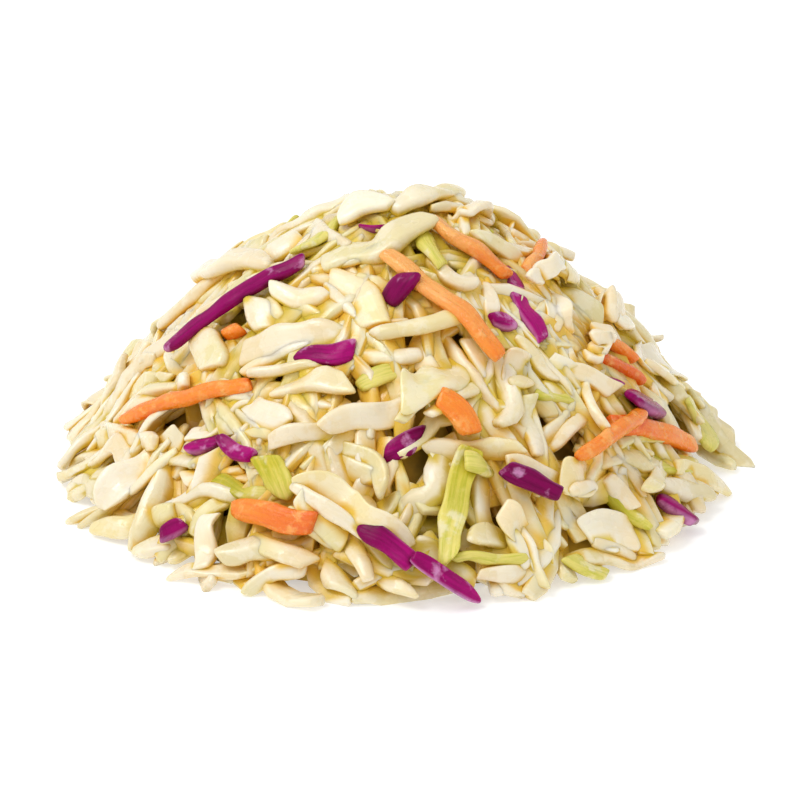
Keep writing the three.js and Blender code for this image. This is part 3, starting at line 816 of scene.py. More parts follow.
# How each cut is shaped: corner is how far its edges are rounded, ragged how uneven its
# width is, wedge how much thicker one side can be than the other, cup how far its edges
# stand over its middle, wave how far it ripples, tip the size of an end's face, slant how
# far off square an end is cut, as a share of the width, sway and lift how far its middle
# line strays sideways and up, and turn how far it rolls, against what it was laid with.
Cut = namedtuple("Cut", "thickness corner ragged wedge cup wave tip slant sway lift turn")
CUTS = {
    "white": Cut(1.9, 0.22, 0.12, 0.35, 0.7, 0.5, 0.9, 0.9, 0.8, 1.0, 3.0),
    "thick": Cut(2.7, 0.6, 0.12, 0.3, 0.6, 0.5, 0.85, 0.8, 0.8, 0.5, 1.3),
    "flake": Cut(1.3, 0.22, 0.14, 0.4, 2.4, 1.6, 0.9, 0.9, 0.6, 0.8, 2.4),
    "green": Cut(1.5, 0.4, 0.16, 0.4, 0.8, 0.6, 0.85, 0.9, 0.5, 0.4, 1.5),
    "red": Cut(2.1, 0.3, 0.13, 0.4, 0.5, 0.4, 0.8, 0.9, 0.4, 0.3, 1.5),
    "carrot": Cut(2.7, 0.5, 0.07, 0.2, 0.0, 0.15, 0.85, 0.6, 0.3, 0.2, 1.5),
    "rib": Cut(1.7, 0.4, 0.1, 0.2, 0.2, 0.2, 0.7, 0.6, 0.3, 0.2, 1.0),
    "gap": Cut(1.8, 0.35, 0.14, 0.35, 0.6, 0.4, 0.85, 0.8, 0.9, 1.0, 2.2),
    "back": Cut(2.2, 0.35, 0.12, 0.35, 0.6, 0.5, 0.9, 0.9, 0.8, 0.7, 1.5),
    "rim": Cut(2.3, 0.35, 0.14, 0.35, 0.6, 0.4, 0.85, 0.8, 0.9, 0.6, 1.2),
    "bed": Cut(1.9, 0.4, 0.12, 0.3, 0.3, 0.2, 0.85, 0.7, 0.5, 0.5, 1.6),
}

Template = namedtuple("Template", "ring side height on_edge faces")


def is_leaf(shred):
    """Whether a white shred is a flake of leaf."""
    least = THICK_LEAF_WIDTH if is_thick(shred) else LEAF_WIDTH
    return shred.kind == "white" and shred.width >= least and shred.role not in ("bed", "back")


def cut_of(shred):
    """The name of a shred's cut."""
    if is_leaf(shred):
        return "flake"
    if shred.role not in ("rib", "bed") and is_thick(shred):
        return "thick"
    return shred.role if shred.kind == "white" and shred.role in CUTS else shred.kind


def runs_lengthwise(edge):
    return abs(edge.verts[0].co.x - edge.verts[1].co.x) > 0.5


def runs_across(edge):
    return abs(edge.verts[0].co.y - edge.verts[1].co.y) > 0.4


@lru_cache(maxsize=None)
def straight_shred(rings, lines):
    """A straight shred of unit size with bevelled edges, as its points and its faces."""
    bm = bmesh.new()
    bmesh.ops.create_cube(bm, size=1)
    if lines:
        across = [edge for edge in bm.edges if runs_across(edge)]
        bmesh.ops.subdivide_edges(bm, edges=across, cuts=lines)
    corners = [e for e in bm.edges if runs_lengthwise(e) and abs(e.verts[0].co.y) > EDGE_LINE]
    bmesh.ops.bevel(
        bm, geom=corners, offset=BEVEL, segments=1, profile=0.5, affect="EDGES", material=-1
    )
    lengthwise = [edge for edge in bm.edges if runs_lengthwise(edge)]
    bmesh.ops.subdivide_edges(bm, edges=lengthwise, cuts=rings - 2)
    bmesh.ops.recalc_face_normals(bm, faces=bm.faces)
    bm.verts.index_update()
    points = np.array([vert.co for vert in bm.verts])
    faces = [[vert.index for vert in face.verts] for face in bm.faces]
    bm.free()
    ring = np.rint((points[:, 0] + 0.5) * (rings - 1)).astype(int)
    side = points[:, 1]
    return Template(ring, side, points[:, 2], np.abs(side) > EDGE_LINE, faces)


def along_line(points, shares):
    """Points at these shares of the way along a smooth line through the given ones."""
    padded = np.vstack([2 * points[0] - points[1], points, 2 * points[-1] - points[-2]])
    last = len(points) - 1
    step = np.clip(shares * last, 0, last)
    start = np.minimum(step.astype(int), last - 1)
    part = (step - start)[:, None]
    before, here, after, beyond = (padded[start + i] for i in range(4))
    return 0.5 * (
        2 * here
        + (after - before) * part
        + (2 * before - 5 * here + 4 * after - beyond) * part**2
        + (3 * here - before - 3 * after + beyond) * part**3
    )


def line_length(points):
    return np.linalg.norm(np.diff(points, axis=0), axis=1).sum()


def uneven(places, swings, rng):
    """A smooth random run about 0, of swings that are these many mm long."""
    run = np.zeros_like(places)
    for swing in swings:
        run += rng.standard_normal() * np.sin(2 * math.pi * (places / swing + rng.random()))
    return run / math.sqrt(len(swings))


def frame_along(shred, cut, shares, places, rng):
    """The middle line of a shred with its own small bends, and the ways along it, to its
    side and out of its face."""
    outs = unit(along_line(shred.outs, shares))
    middle = along_line(shred.line, shares)
    tilt = rng.uniform(-1, 1) * (2 * shares - 1)
    tilt = tilt + uneven(places, LIFT_SWINGS, rng) * LIFT_SHARE
    middle = middle + outs * (cut.lift * tilt)[:, None]
    ahead = along_line(shred.line, np.minimum(shares + NUDGE, 1))
    behind = along_line(shred.line, np.maximum(shares - NUDGE, 0))
    side = unit(np.cross(outs, unit(ahead - behind)))
    middle = middle + side * (cut.sway * uneven(places, SWAY_SWINGS, rng))[:, None]
    along = unit(np.gradient(middle, axis=0))
    side = unit(np.cross(outs, along))
    face = np.cross(along, side)
    turn = (cut.turn * (shred.roll + shred.twist * (shares - 0.5)))[:, None]
    cos, sin = np.cos(turn), np.sin(turn)
    return middle, along, side * cos + face * sin, face * cos - side * sin


def bent_shred(shred, template, cut, rng):
    """A template bent along a laid shred, as its points and each point's share and offset."""
    last = template.ring.max()
    length = line_length(shred.line)
    near_ends = np.minimum(rng.uniform(*END_RING, 2) / length, END_RING_SHARE)
    inner = np.linspace(near_ends[0], 1 - near_ends[1], last - 1)
    shares = np.concatenate([[0], inner, [1]])
    places = shares * length
    middle, along, side, face = frame_along(shred, cut, shares, places, rng)

    size = np.ones(last + 1)
    size[[0, -1]] = cut.tip
    narrowing = np.where(shares < 0.5, *(end - 1 for end in shred.ends))
    narrowing = narrowing * np.abs(2 * shares - 1) ** TAPER
    full_width = FULLNESS[shred.kind] * shred.width * (1 + narrowing) * size
    thin_end = np.minimum(1, THIN_END + (1 - THIN_END) * full_width / shred.width)
    unevenness = 1 + THICKNESS_SHARE * uneven(places, THICKNESS_SWINGS, rng)
    thickness = cut.thickness * thin_end * unevenness * size
    left = 1 + cut.ragged * uneven(places, SIDE_SWINGS, rng)
    right = 1 + cut.ragged * uneven(places, SIDE_SWINGS, rng)
    slant = cut.slant * rng.uniform(-1, 1, 2)
    wave = cut.wave * uneven(places, WAVE_SWINGS, rng)
    cup = cut.cup * rng.uniform(*CUP_RANGE)
    wedge = cut.wedge * rng.uniform(-1, 1)

    k, on_edge = template.ring, template.on_edge
    fuller = np.where(template.side < 0, left[k], right[k])
    half = full_width[k] / 2 * np.maximum(fuller, LEAST_SIDE)
    inner = template.side / (0.5 - BEVEL) * np.maximum(half - cut.corner, half * LEAST_INNER)
    offset = np.where(on_edge, np.sign(template.side) * half, inner)
    across = 2 * offset / shred.width
    rise = template.height * np.where(on_edge, EDGE_HEIGHT, 1) * thickness[k]
    rise = rise * (1 + wedge * across)
    rise += cup * (across**2 - CUP_LEVEL) + wave[k] * (0.5 + across / 2)
    if is_leaf(shred):
        drift = rng.uniform(*LEAF_PLEATS) * across
        drift = drift + rng.uniform(-PLEAT_DRIFT, PLEAT_DRIFT) * shares[k]
        rise += LEAF_PLEAT * np.sin(2 * math.pi * (drift + rng.random()))
    push = np.zeros(len(offset))
    for step, share in enumerate(SLANT_SHARES):
        near = np.where(k == step, slant[0], np.where(k == last - step, slant[1], 0))
        push += near * offset * share
    points = middle[k] + side[k] * offset[:, None] + face[k] * rise[:, None]
    points = points + along[k] * push[:, None]
    crumple = [noise.noise_vector(Vector(point * CRUMPLE_PITCH)) for point in points]
    points = points + CRUMPLE * np.array(crumple)
    points[:, 2] = np.maximum(points[:, 2], TABLE_GAP)
    return points, shares[k], offset, length


def tones_of(shares, tones, rng):
    """The colour of each point of a shred: one tone at its start, another at its end."""
    start, end = rng.choice(len(tones), 2)
    light = 1 + LIGHT_SPREAD * rng.standard_normal()
    share = smooth_step(shares + TONE_DRIFT * rng.standard_normal(), 0.1, 0.9)[:, None]
    colour = (np.array(tones[start]) * (1 - share) + np.array(tones[end]) * share) * light
    return np.clip(colour, 0, 1)


def pale_edge(tone, edge_tone, template, rng):
    """The tone of a shred with a cut edge of its own colour along one side."""
    at_edge = template.on_edge & (np.sign(template.side) == rng.choice([-1, 1]))
    paleness = (at_edge * rng.uniform(0.3, 1))[:, None]
    return tone * (1 - paleness) + np.array(edge_tone) * paleness


def paint(mesh, name, kind, field, values):
    """Gives a mesh a value for each of its points, under a name that its finish reads."""
    layer = mesh.attributes.get(name) or mesh.attributes.new(name, kind, "POINT")
    layer.data.foreach_set(field, values.astype(np.float32).ravel())


def shred_mesh(name, shreds, tones, edge_tone):
    """One mesh of many shreds, with their tones and the direction of their grain."""
    rng = np.random.default_rng(CUT_SEED)
    noise.seed_set(CUT_SEED)
    points, faces, colours, grains = [], [], [], []
    count = 0
    for number, shred in enumerate(shreds):
        is_bed = shred.role == "bed"
        cut = cut_of(shred)
        ring_length = BED_RING_LENGTH if is_bed else RING_LENGTH
        rings = int(np.clip(line_length(shred.line) / ring_length, 3, MOST_RINGS)) + 2
        template = straight_shred(rings, 0 if is_bed else 3 if cut == "flake" else 1)
        place, shares, offset, length = bent_shred(shred, template, CUTS[cut], rng)
        tone = tones_of(shares, tones, rng)
        if edge_tone is not None:
            tone = pale_edge(tone, edge_tone, template, rng)
        points.append(place * MM)
        faces.extend([[count + i for i in face] for face in template.faces])
        colours.append(np.column_stack([tone, np.ones(len(tone))]))
        row = np.full(len(offset), GRAIN_STEP * number)
        grains.append(np.column_stack([shares * length, offset, row]))
        count += len(place)
    mesh = bpy.data.meshes.new(name)
    mesh.from_pydata(np.concatenate(points).tolist(), [], faces)
    paint(mesh, "tone", "FLOAT_COLOR", "color", np.concatenate(colours))
    paint(mesh, "grain", "FLOAT_VECTOR", "vector", np.concatenate(grains))
    return mesh


def ribs_of(shreds):
    """The narrow ribs that flakes of cabbage carry: finer shreds along parts of them."""
    rng = np.random.default_rng(RIB_SEED)
    ribs = []
    for shred in shreds:
        if shred.width < LEAF_WIDTH:
            continue
        start, end = rng.uniform(-0.05, 0.3), rng.uniform(0.7, 1.1)
        aside = rng.uniform(0.1, 0.6, 2) * rng.choice([-1, 1], 2) * shred.width
        shares = np.clip(np.linspace(start, end, RIB_PLACES), 0, 1)
        middle = along_line(shred.line, shares)
        outs = unit(along_line(shred.outs, shares))
        side = unit(np.cross(outs, unit(np.gradient(middle, axis=0))))
        lifts = RIB_LIFT * np.array([-1, 1, 1, -1]) + rng.uniform(-0.2, 0.2, RIB_PLACES)
        across = np.linspace(*aside, RIB_PLACES)
        width = rng.uniform(*RIB_WIDTH)
        ends = rng.uniform(0.5, 0.9), rng.uniform(0.5, 0.9)
        rib = Shred(shred.kind, "rib", None, outs, width, ends, *rng.uniform(-0.3, 0.3, 2))
        rib.line = middle + side * across[:, None] + outs * lifts[:, None]
        ribs.append(rib)
    return ribs


def is_in_front(shred):
    """Whether it is one of the larger shreds on the front."""
    return shred.role in ("front", TUCKED, "fill") and (shred.outs @ SEAT).mean() > 0


def add_piece(name, mesh, finish, levels=0):
    """Puts a finished mesh into the scene as a piece of the heap."""
    mesh.shade_smooth()
    mesh.materials.append(finish)
    piece = bpy.data.objects.new(name, mesh)
    bpy.context.scene.collection.objects.link(piece)
    if levels:
        rounding = piece.modifiers.new("rounding", "SUBSURF")
        rounding.levels = rounding.render_levels = levels
    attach(piece, "root")
    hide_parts(HEAP_NODE)


# How shaded a point is by what lies around it: the share of a few ways out from it that
# are blocked within reach.
SHADE_REACH = 9 * MM
SHADE_START = 0.25 * MM
SHADE_RAYS = 12


def ways_out():
    """Directions spread evenly over the half of a sphere round +Z, more of them towards +Z."""
    turns = np.arange(SHADE_RAYS)
    radius = np.sqrt((turns + 0.5) / SHADE_RAYS)
    angle = turns * math.pi * (3 - math.sqrt(5))
    height = np.sqrt(1 - radius**2)
    return np.column_stack([radius * np.cos(angle), radius * np.sin(angle), height])


def vectors_of(layer, field):
    """A vector of each point of a mesh, from a layer of it."""
    vectors = np.empty(len(layer) * 3)
    layer.foreach_get(field, vectors)
    return vectors.reshape(-1, 3)


def shade_pieces(pieces):
    """Writes into each piece how open each of its points is among all of them, 0 to 1. The
    finishes paint shade from it.
    """
    points, faces = [], []
    for piece in pieces:
        count = len(points)
        points.extend(vert.co[:] for vert in piece.data.vertices)
        faces.extend([count + i for i in polygon.vertices] for polygon in piece.data.polygons)
    tree = BVHTree.FromPolygons(points, faces)
    ways = ways_out()
    for piece in pieces:
        mesh = piece.data
        places = vectors_of(mesh.vertices, "co")
        normals = vectors_of(mesh.vertex_normals, "vector")
        helper = np.where(np.abs(normals[:, 2:]) < 0.9, [[0, 0, 1]], [[1, 0, 0]])
        first = unit(np.cross(helper, normals))
        second = np.cross(normals, first)
        blocked = np.zeros(len(places))
        starts = (places + normals * SHADE_START).tolist()
        for way in ways:
            directions = (first * way[0] + second * way[1] + normals * way[2]).tolist()
            for i, (start, direction) in enumerate(zip(starts, directions)):
                distance = tree.ray_cast(start, direction, SHADE_REACH)[3]
                if distance is not None:
                    blocked[i] += 1 - distance / SHADE_REACH
        paint(mesh, "open", "FLOAT", "value", 1 - blocked / SHADE_RAYS)


CORE_SEED = 3
CORE_SPREAD = 0.93  # of the heap's radius
CORE_SIDES = 48
CORE_RINGS = 16
CORE_LUMP = 1.2
CORE_LEAST = 0.3  # its profile leaves out what lies under this height
CORE_FOOT = 0.5  # and its lumps, smoothed by this much, start from this one on
CORE_SMOOTHING = 0.3


def core_mesh(heap):
    """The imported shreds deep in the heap, under the bed: a lumpy mound with a flat base."""
    profile = [Vector((0, 0, 0))]
    for radius in np.linspace(CORE_SPREAD * heap.radius, 0, CORE_RINGS):
        feet, outs = spots_under(heap, [max(radius, 0.01)], [0])
        at = feet[0] - outs[0] * BED_DEPTH
        if at[2] > CORE_LEAST:
            profile.append(Vector(at))
    profile.insert(1, Vector((profile[1].x, 0, 0)))
    profile[-1].x = 0
    bm = bmesh.new()
    verts = [bm.verts.new(at) for at in profile]
    edges = [bm.edges.new(pair) for pair in zip(verts, verts[1:])]
    turn = {"cent": (0, 0, 0), "axis": (0, 0, 1), "angle": 2 * math.pi}
    bmesh.ops.spin(bm, geom=verts + edges, **turn, steps=CORE_SIDES, use_merge=True)
    bmesh.ops.remove_doubles(bm, verts=bm.verts, dist=0.01)
    bmesh.ops.recalc_face_normals(bm, faces=bm.faces)
    draw = random.Random(CORE_SEED).uniform
    above = [vert for vert in bm.verts if vert.co.z > CORE_FOOT]
    for vert in above:
        vert.co += vert.normal * CORE_LUMP * draw(-1, 1)
    above = [vert for vert in bm.verts if vert.co.z > CORE_FOOT]
    bmesh.ops.smooth_vert(bm, verts=above, factor=CORE_SMOOTHING)
    bmesh.ops.scale(bm, verts=bm.verts, vec=(MM, MM, MM))
    mesh = bpy.data.meshes.new("core")
    bm.to_mesh(mesh)
    bm.free()
    return mesh


# ---------------------------------------------------------------------------------------
# Finishes
# ---------------------------------------------------------------------------------------


class Finish:
    """A node material in the making."""

    def __init__(self, name):
        self.material = bpy.data.materials.new(name)
        self.material.use_nodes = True
        self.tree = self.material.node_tree
        self.tree.nodes.clear()

    def node(self, kind, inputs=None, **settings):
        """A node with these settings, its inputs set to values or linked to outputs."""
        node = self.tree.nodes.new(kind)
        for key, value in settings.items():
            setattr(node, key, value)
        for key, value in (inputs or {}).items():
            if isinstance(value, bpy.types.NodeSocket):
                self.tree.links.new(value, node.inputs[key])
            else:
                node.inputs[key].default_value = value
        return node

    def place(self):
        return self.node("ShaderNodeTexCoord").outputs["Object"]

    def attribute(self, name, output):
        return self.node("ShaderNodeAttribute", attribute_name=name).outputs[output]

    def mix(self, factor, first, second, blend="MIX"):
        """Two colours mixed by a factor."""
        node = self.node("ShaderNodeMix", {0: factor, 6: first, 7: second}, data_type="RGBA")
        node.blend_type = blend
        return node.outputs[2]

    def math(self, operation, first, second):
        node = self.node("ShaderNodeMath", {0: first, 1: second}, operation=operation)
        return node.outputs[0]

    def ranged(self, value, low, high, to_low=0.0, to_high=1.0):
        """A value from a range, brought smoothly to another range."""
        inputs = {"Value": value, "From Min": low, "From Max": high}
        inputs.update({"To Min": to_low, "To Max": to_high})
        node = self.node("ShaderNodeMapRange", inputs, interpolation_type="SMOOTHSTEP")
        return node.outputs[0]

    def noise(self, vector, scale, detail=2.0, roughness=0.5):
        inputs = {"Vector": vector, "Scale": scale, "Detail": detail, "Roughness": roughness}
        return self.node("ShaderNodeTexNoise", inputs).outputs[0]

    def bump(self, strength, distance, height):
        inputs = {"Strength": strength, "Distance": distance, "Height": height}
        return self.node("ShaderNodeBump", inputs).outputs[0]

    def done(self, **inputs):
        """Ends the material with its shader, whose inputs are set or linked by name."""
        names = {key: key.replace("_", " ").title().replace("Ior", "IOR") for key in inputs}
        named = {names[key]: value for key, value in inputs.items()}
        shader = self.node("ShaderNodeBsdfPrincipled", named)
        self.node("ShaderNodeOutputMaterial", {"Surface": shader.outputs[0]})
        return self.material


# How fine each pattern of a dressed finish is: how many of its spots there are to a metre,
# and for the fibres how much finer they are across a shred than along it.
FIBRE_STRETCH = (0.14, 1.7, 1)
BLOTCHES = 420.0
POOLS = 190.0
# The parts where the painted shade of the depths is greener.
GREENER_SHADE_PARTS = 70.0
WET_PARTS = 260.0
GRIT = 1100.0
# The patches of the core's painted shade.
CORE_SHADE_PATCHES = 160.0
RELIEF_DEPTH = 0.0003
CORE_RELIEF_DEPTH = 0.0006
SPREAD_REACH = 0.0006  # how far light spreads under the surface
CORE_SHADE = 0.4  # how dark the core's painted shade is in its darker patches

# What sets one dressed finish apart. A colour is red, green and blue shares, or the name of
# one that a user may change. The tones are those of its shreds, each as often as it should
# come up, and edge is that of a cut edge. Next is its painted shade: deep and its greener
# kind are colours that darken and tint its depths, from how open a point is where that
# starts to where it is full, and by how much. Its fibres are darkened by a colour, its
# blotches have one, and so has the film of dressing on it: coated is how much of it the film
# covers and film_edge how softly that ends. Then come how rough it is wet and dry, how much
# it mirrors, how deep its relief is and its grit in that, and how much light spreads in it,
# in what colour.
Look = namedtuple(
    "Look",
    "tones edge deep deep_green deep_from deep_share fibre fibre_share blotch blotch_share"
    " film coated film_edge film_share rough mirror relief grit spread_weight spread_colour",
)
LOOKS = {
    "white_cabbage": Look(
        tones=("cream", "cream", "ivory", "ivory", "butter", "pale_leaf", "almond"), edge=None,
        deep="deep_tone", deep_green="deep_olive",
        deep_from=(0.92, 0.3), deep_share=0.95,
        fibre=(0.95, 0.92, 0.76), fibre_share=0.35, blotch="dressing", blotch_share=0.25,
        film="dressing", coated=0.52, film_edge=0.08, film_share=0.35,
        rough=(0.18, 0.4), mirror=0.62, relief=0.22, grit=0.25,
        spread_weight=0.45, spread_colour=(1.0, 0.9, 0.7),
    ),
    "green_leaf": Look(
        tones=("leaf", "young_leaf", "young_leaf", "young_leaf"), edge="young_leaf",
        deep=(0.8, 0.72, 0.25), deep_green=(0.75, 0.76, 0.25),
        deep_from=(0.88, 0.25), deep_share=0.9,
        fibre=(0.72, 0.8, 0.35), fibre_share=0.9, blotch="young_leaf", blotch_share=0.6,
        film="dressing", coated=0.46, film_edge=0.14, film_share=0.45,
        rough=(0.2, 0.4), mirror=0.25, relief=0.5, grit=0.3,
        spread_weight=0.2, spread_colour=(0.8, 1.0, 0.25),
    ),
    # Red cabbage's film is real dressing and also a painted sheen, standing in for the highlights
    # that its low mirror leaves out.
    "red_cabbage": Look(
        tones=("purple", "purple", "magenta", "plum"), edge="lilac",
        deep=(0.5, 0.3, 0.35), deep_green=(0.5, 0.3, 0.35),
        deep_from=(0.88, 0.25), deep_share=0.9,
        fibre=(0.6, 0.45, 0.6), fibre_share=0.8, blotch="plum", blotch_share=0.6,
        film="lilac", coated=0.43, film_edge=0.12, film_share=0.78,
        rough=(0.14, 0.3), mirror=0.12, relief=0.4, grit=0.2,
        spread_weight=0.05, spread_colour=(1.0, 0.3, 0.8),
    ),
    "carrot": Look(
        tones=("orange", "orange", "apricot", "deep_orange"), edge=None,
        deep=(0.85, 0.55, 0.25), deep_green=(0.85, 0.6, 0.25),
        deep_from=(0.88, 0.25), deep_share=0.9,
        fibre=(0.95, 0.72, 0.5), fibre_share=0.8, blotch="apricot", blotch_share=0.8,
        film="apricot", coated=0.45, film_edge=0.1, film_share=0.6,
        rough=(0.1, 0.32), mirror=0.55, relief=1.0, grit=0.9,
        spread_weight=0.2, spread_colour=(1.0, 0.4, 0.12),
    ),
}


def colour_of(colours, colour):
    """A colour of a look, as shares."""
    return tuple(getattr(colours, colour)) if isinstance(colour, str) else colour


def dressed_finish(name, look, colours):
    """Cut vegetable with fibres along each shred, under patches of creamy dressing. Its
    points are darkened and tinted golden the less open they are, as painted shade.
    """
    names = ("deep", "deep_green", "fibre", "blotch", "film")
    deep, deep_green, fibre, blotch, dressing = (
        (*colour_of(colours, getattr(look, name)), 1) for name in names
    )
    make = Finish(name)
    tone = make.attribute("tone", "Color")
    grain = make.attribute("grain", "Vector")
    open_share = make.attribute("open", "Fac")
    place = make.place()
    stretch = {0: grain, 1: FIBRE_STRETCH}
    stretched = make.node("ShaderNodeVectorMath", stretch, operation="MULTIPLY").outputs[0]
    fibres = make.noise(stretched, 1.0, 4.0, 0.6)
    fibre_share = make.ranged(fibres, 0.38, 0.68, 0.0, look.fibre_share)
    fibred = make.mix(fibre_share, tone, fibre, "MULTIPLY")

    blotches = make.noise(place, BLOTCHES, 4.0, 0.65)
    blotch_share = make.ranged(blotches, 0.5, 0.75, 0.0, look.blotch_share)
    blotched = make.mix(blotch_share, fibred, blotch)

    pools = make.noise(place, POOLS, 4.0, 0.6)
    film = make.ranged(pools, look.coated, look.coated - look.film_edge)
    # The film of dressing is real, but it is kept off points shaded by the others, which adds
    # painted shade there.
    film = make.math("MULTIPLY", film, make.ranged(open_share, 0.4, 0.7))
    coated = make.mix(make.math("MULTIPLY", film, look.film_share), blotched, dressing)
    # Painted shade: the less open a point is among the pieces, the more its colour is darkened
    # and tinted golden, in some parts greener.
    depth = make.ranged(open_share, *look.deep_from, 0.0, look.deep_share)
    greener_painted_shade = make.ranged(make.noise(place, GREENER_SHADE_PARTS), 0.42, 0.62)
    painted_shade_tint = make.mix(greener_painted_shade, deep, deep_green)
    with_painted_shade = make.mix(depth, coated, painted_shade_tint, "MULTIPLY")

    wetness = make.noise(place, WET_PARTS)
    roughness = make.ranged(wetness, 0.4, 0.65, *look.rough)
    grit = make.noise(place, GRIT, 3.0, 0.65)
    ridges = make.math("MULTIPLY", fibres, 0.8)
    height = make.math("ADD", ridges, make.math("MULTIPLY", grit, look.grit))
    height = make.math("ADD", height, make.math("MULTIPLY", film, 0.5))
    return make.done(
        base_color=with_painted_shade,
        roughness=roughness,
        specular_ior_level=look.mirror,
        subsurface_weight=look.spread_weight,
        subsurface_radius=look.spread_colour,
        subsurface_scale=SPREAD_REACH,
        normal=make.bump(look.relief, RELIEF_DEPTH, height),
    )


def core_finish(juice):
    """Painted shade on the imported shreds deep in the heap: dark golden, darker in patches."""
    make = Finish("pooled_dressing")
    pools = make.noise(make.place(), CORE_SHADE_PATCHES, 3.0)
    shade = [CORE_SHADE * channel for channel in juice]
    colour = make.mix(make.ranged(pools, 0.35, 0.65), (*juice, 1), (*shade, 1))
    relief = make.bump(0.6, CORE_RELIEF_DEPTH, pools)
    return make.done(base_color=colour, roughness=0.5, specular_ior_level=0.1, normal=relief)


# ---------------------------------------------------------------------------------------
# What a user may change
# ---------------------------------------------------------------------------------------


def linear(red, green, blue):
    """A colour given as 0 to 255 on a screen, as the light that it stands for."""
    shares = (red / 255, green / 255, blue / 255)
    return tuple(s / 12.92 if s <= 0.04045 else ((s + 0.055) / 1.055) ** 2.4 for s in shares)


def length_property(name, description, millimetres):
    return bpy.props.FloatProperty(
        name=name,
        description=description,
        default=millimetres * MM,
        min=0,
        precision=4,
        subtype="DISTANCE",
        unit="LENGTH",
    )


def colour_property(name, description, *screen):
    return bpy.props.FloatVectorProperty(
        name=name,
        description=description,
        default=linear(*screen),
        min=0,
        max=1,
        size=3,
        subtype="COLOR",
    )


class ColeslawForm(bpy.types.PropertyGroup):
    """The heap's outer form."""

    height: length_property("Height", "Height of the rounded cone that the heap fills", 53)
    radius: length_property("Radius", "Radius of that cone at the table", 62)
    side_power: bpy.props.FloatProperty(
        name="Side power", description="1 is a straight cone, 2 a dome", default=1.8, min=1, max=3
    )
    foot_softness: length_property("Foot softness", "How far the foot runs out on the table", 3)
    cover: length_property("Cover", "Depth of the large shreds over the packed core", 3)
    cover_full_at: length_property("Cover full at", "Height at which the cover has its depth", 12)


class ColeslawColours(bpy.types.PropertyGroup):
    """The colours of the cut vegetables and their dressing."""

    cream: colour_property("Cream", "Dressed white cabbage", 239, 221, 182)
    ivory: colour_property("Ivory", "White cabbage, the palest", 245, 234, 209)
    butter: colour_property("Butter", "White cabbage, the yellowest", 238, 222, 168)
    pale_leaf: colour_property("Pale leaf", "White cabbage towards its green leaf", 232, 220, 166)
    almond: colour_property("Almond", "White cabbage, the darkest", 233, 219, 174)
    leaf: colour_property("Leaf", "Green leaf", 206, 191, 62)
    young_leaf: colour_property("Young leaf", "Green leaf, the palest", 228, 214, 118)
    purple: colour_property("Purple", "Red cabbage skin", 150, 4, 96)
    plum: colour_property("Plum", "Red cabbage, the darkest", 128, 2, 78)
    magenta: colour_property("Magenta", "Red cabbage, the brightest", 176, 10, 116)
    # Red cabbage's cut edge really has this colour; as the colour of its film it is also a
    # painted sheen.
    lilac: colour_property("Lilac", "Cut edge of red cabbage", 214, 150, 196)
    orange: colour_property("Orange", "Carrot", 250, 142, 32)
    deep_orange: colour_property("Deep orange", "Carrot, the darkest", 240, 112, 12)
    apricot: colour_property("Apricot", "Carrot, the palest", 255, 184, 100)
    dressing: colour_property("Dressing", "Creamy dressing", 250, 243, 226)
    # The next two tint the painted shade: the golden colour that cabbage is darkened to where its
    # points are shaded by the others, and its greener kind.
    deep_tone: colour_property("Deep tone", "Tinge of cabbage deep in the heap", 251, 216, 80)
    deep_olive: colour_property("Deep olive", "The same, in its greener parts", 235, 217, 76)
    # Painted shade: the dark golden colour of the core, which shows only in the deepest gaps.
    juice: colour_property("Juice", "Thin dressing pooled deep in the heap", 194, 154, 52)


class ColeslawStage(bpy.types.PropertyGroup):
    """The table, the light and the camera."""

    table: colour_property("Table", "The plain table top", 214, 214, 214)
    table_glow: bpy.props.FloatProperty(
        name="Table glow", description="Light that comes through the table", default=0.45, min=0
    )
    sky_strength: bpy.props.FloatProperty(
        name="Sky", description="Strength of the even light from all round", default=0.77, min=0
    )
    lamp_power: bpy.props.FloatProperty(
        name="Lamp",
        description="Power of the large soft lamp",
        default=11.8,
        min=0,
        subtype="POWER",
        unit="POWER",
    )
    camera_distance: length_property("Camera distance", "From what it looks at", 800)
    camera_elevation: bpy.props.FloatProperty(
        name="Camera elevation",
        description="How steeply the camera looks down",
        default=math.radians(23),
        subtype="ANGLE",
        unit="ROTATION",
    )
    camera_height: length_property("Aim height", "Height of the point that it looks at", 13)
    camera_lens: bpy.props.FloatProperty(
        name="Lens", description="Focal length of the camera", default=198, min=10, unit="CAMERA"
    )


def heap_of(scene):
    """The heap's form in millimetres, rid of the rounding of the stored values."""
    form = scene.coleslaw_form
    lengths = (form.height, form.radius, form.foot_softness, form.cover, form.cover_full_at)
    height, radius, softness, cover, full_at = (round(length / MM, 3) for length in lengths)
    return Heap(height, radius, round(form.side_power, 4), softness, cover, full_at)


# ---------------------------------------------------------------------------------------
# One operator for each kind of piece
# ---------------------------------------------------------------------------------------


def shreds_of(scene, kind):
    return [shred for shred in laid_shreds(heap_of(scene)) if shred.kind == kind]


def add_shreds(scene, finish_name, pieces):
    """Adds pieces that share a finish, each given as its name, its shreds and its rounding."""
    look, colours = LOOKS[finish_name], scene.coleslaw_colours
    finish = dressed_finish("dressed_" + finish_name, look, colours)
    tones = [colour_of(colours, tone) for tone in look.tones]
    edge_tone = look.edge and colour_of(colours, look.edge)
    for name, shreds, levels in pieces:
        add_piece(name, shred_mesh(name, shreds, tones, edge_tone), finish, levels)
    return {"FINISHED"}


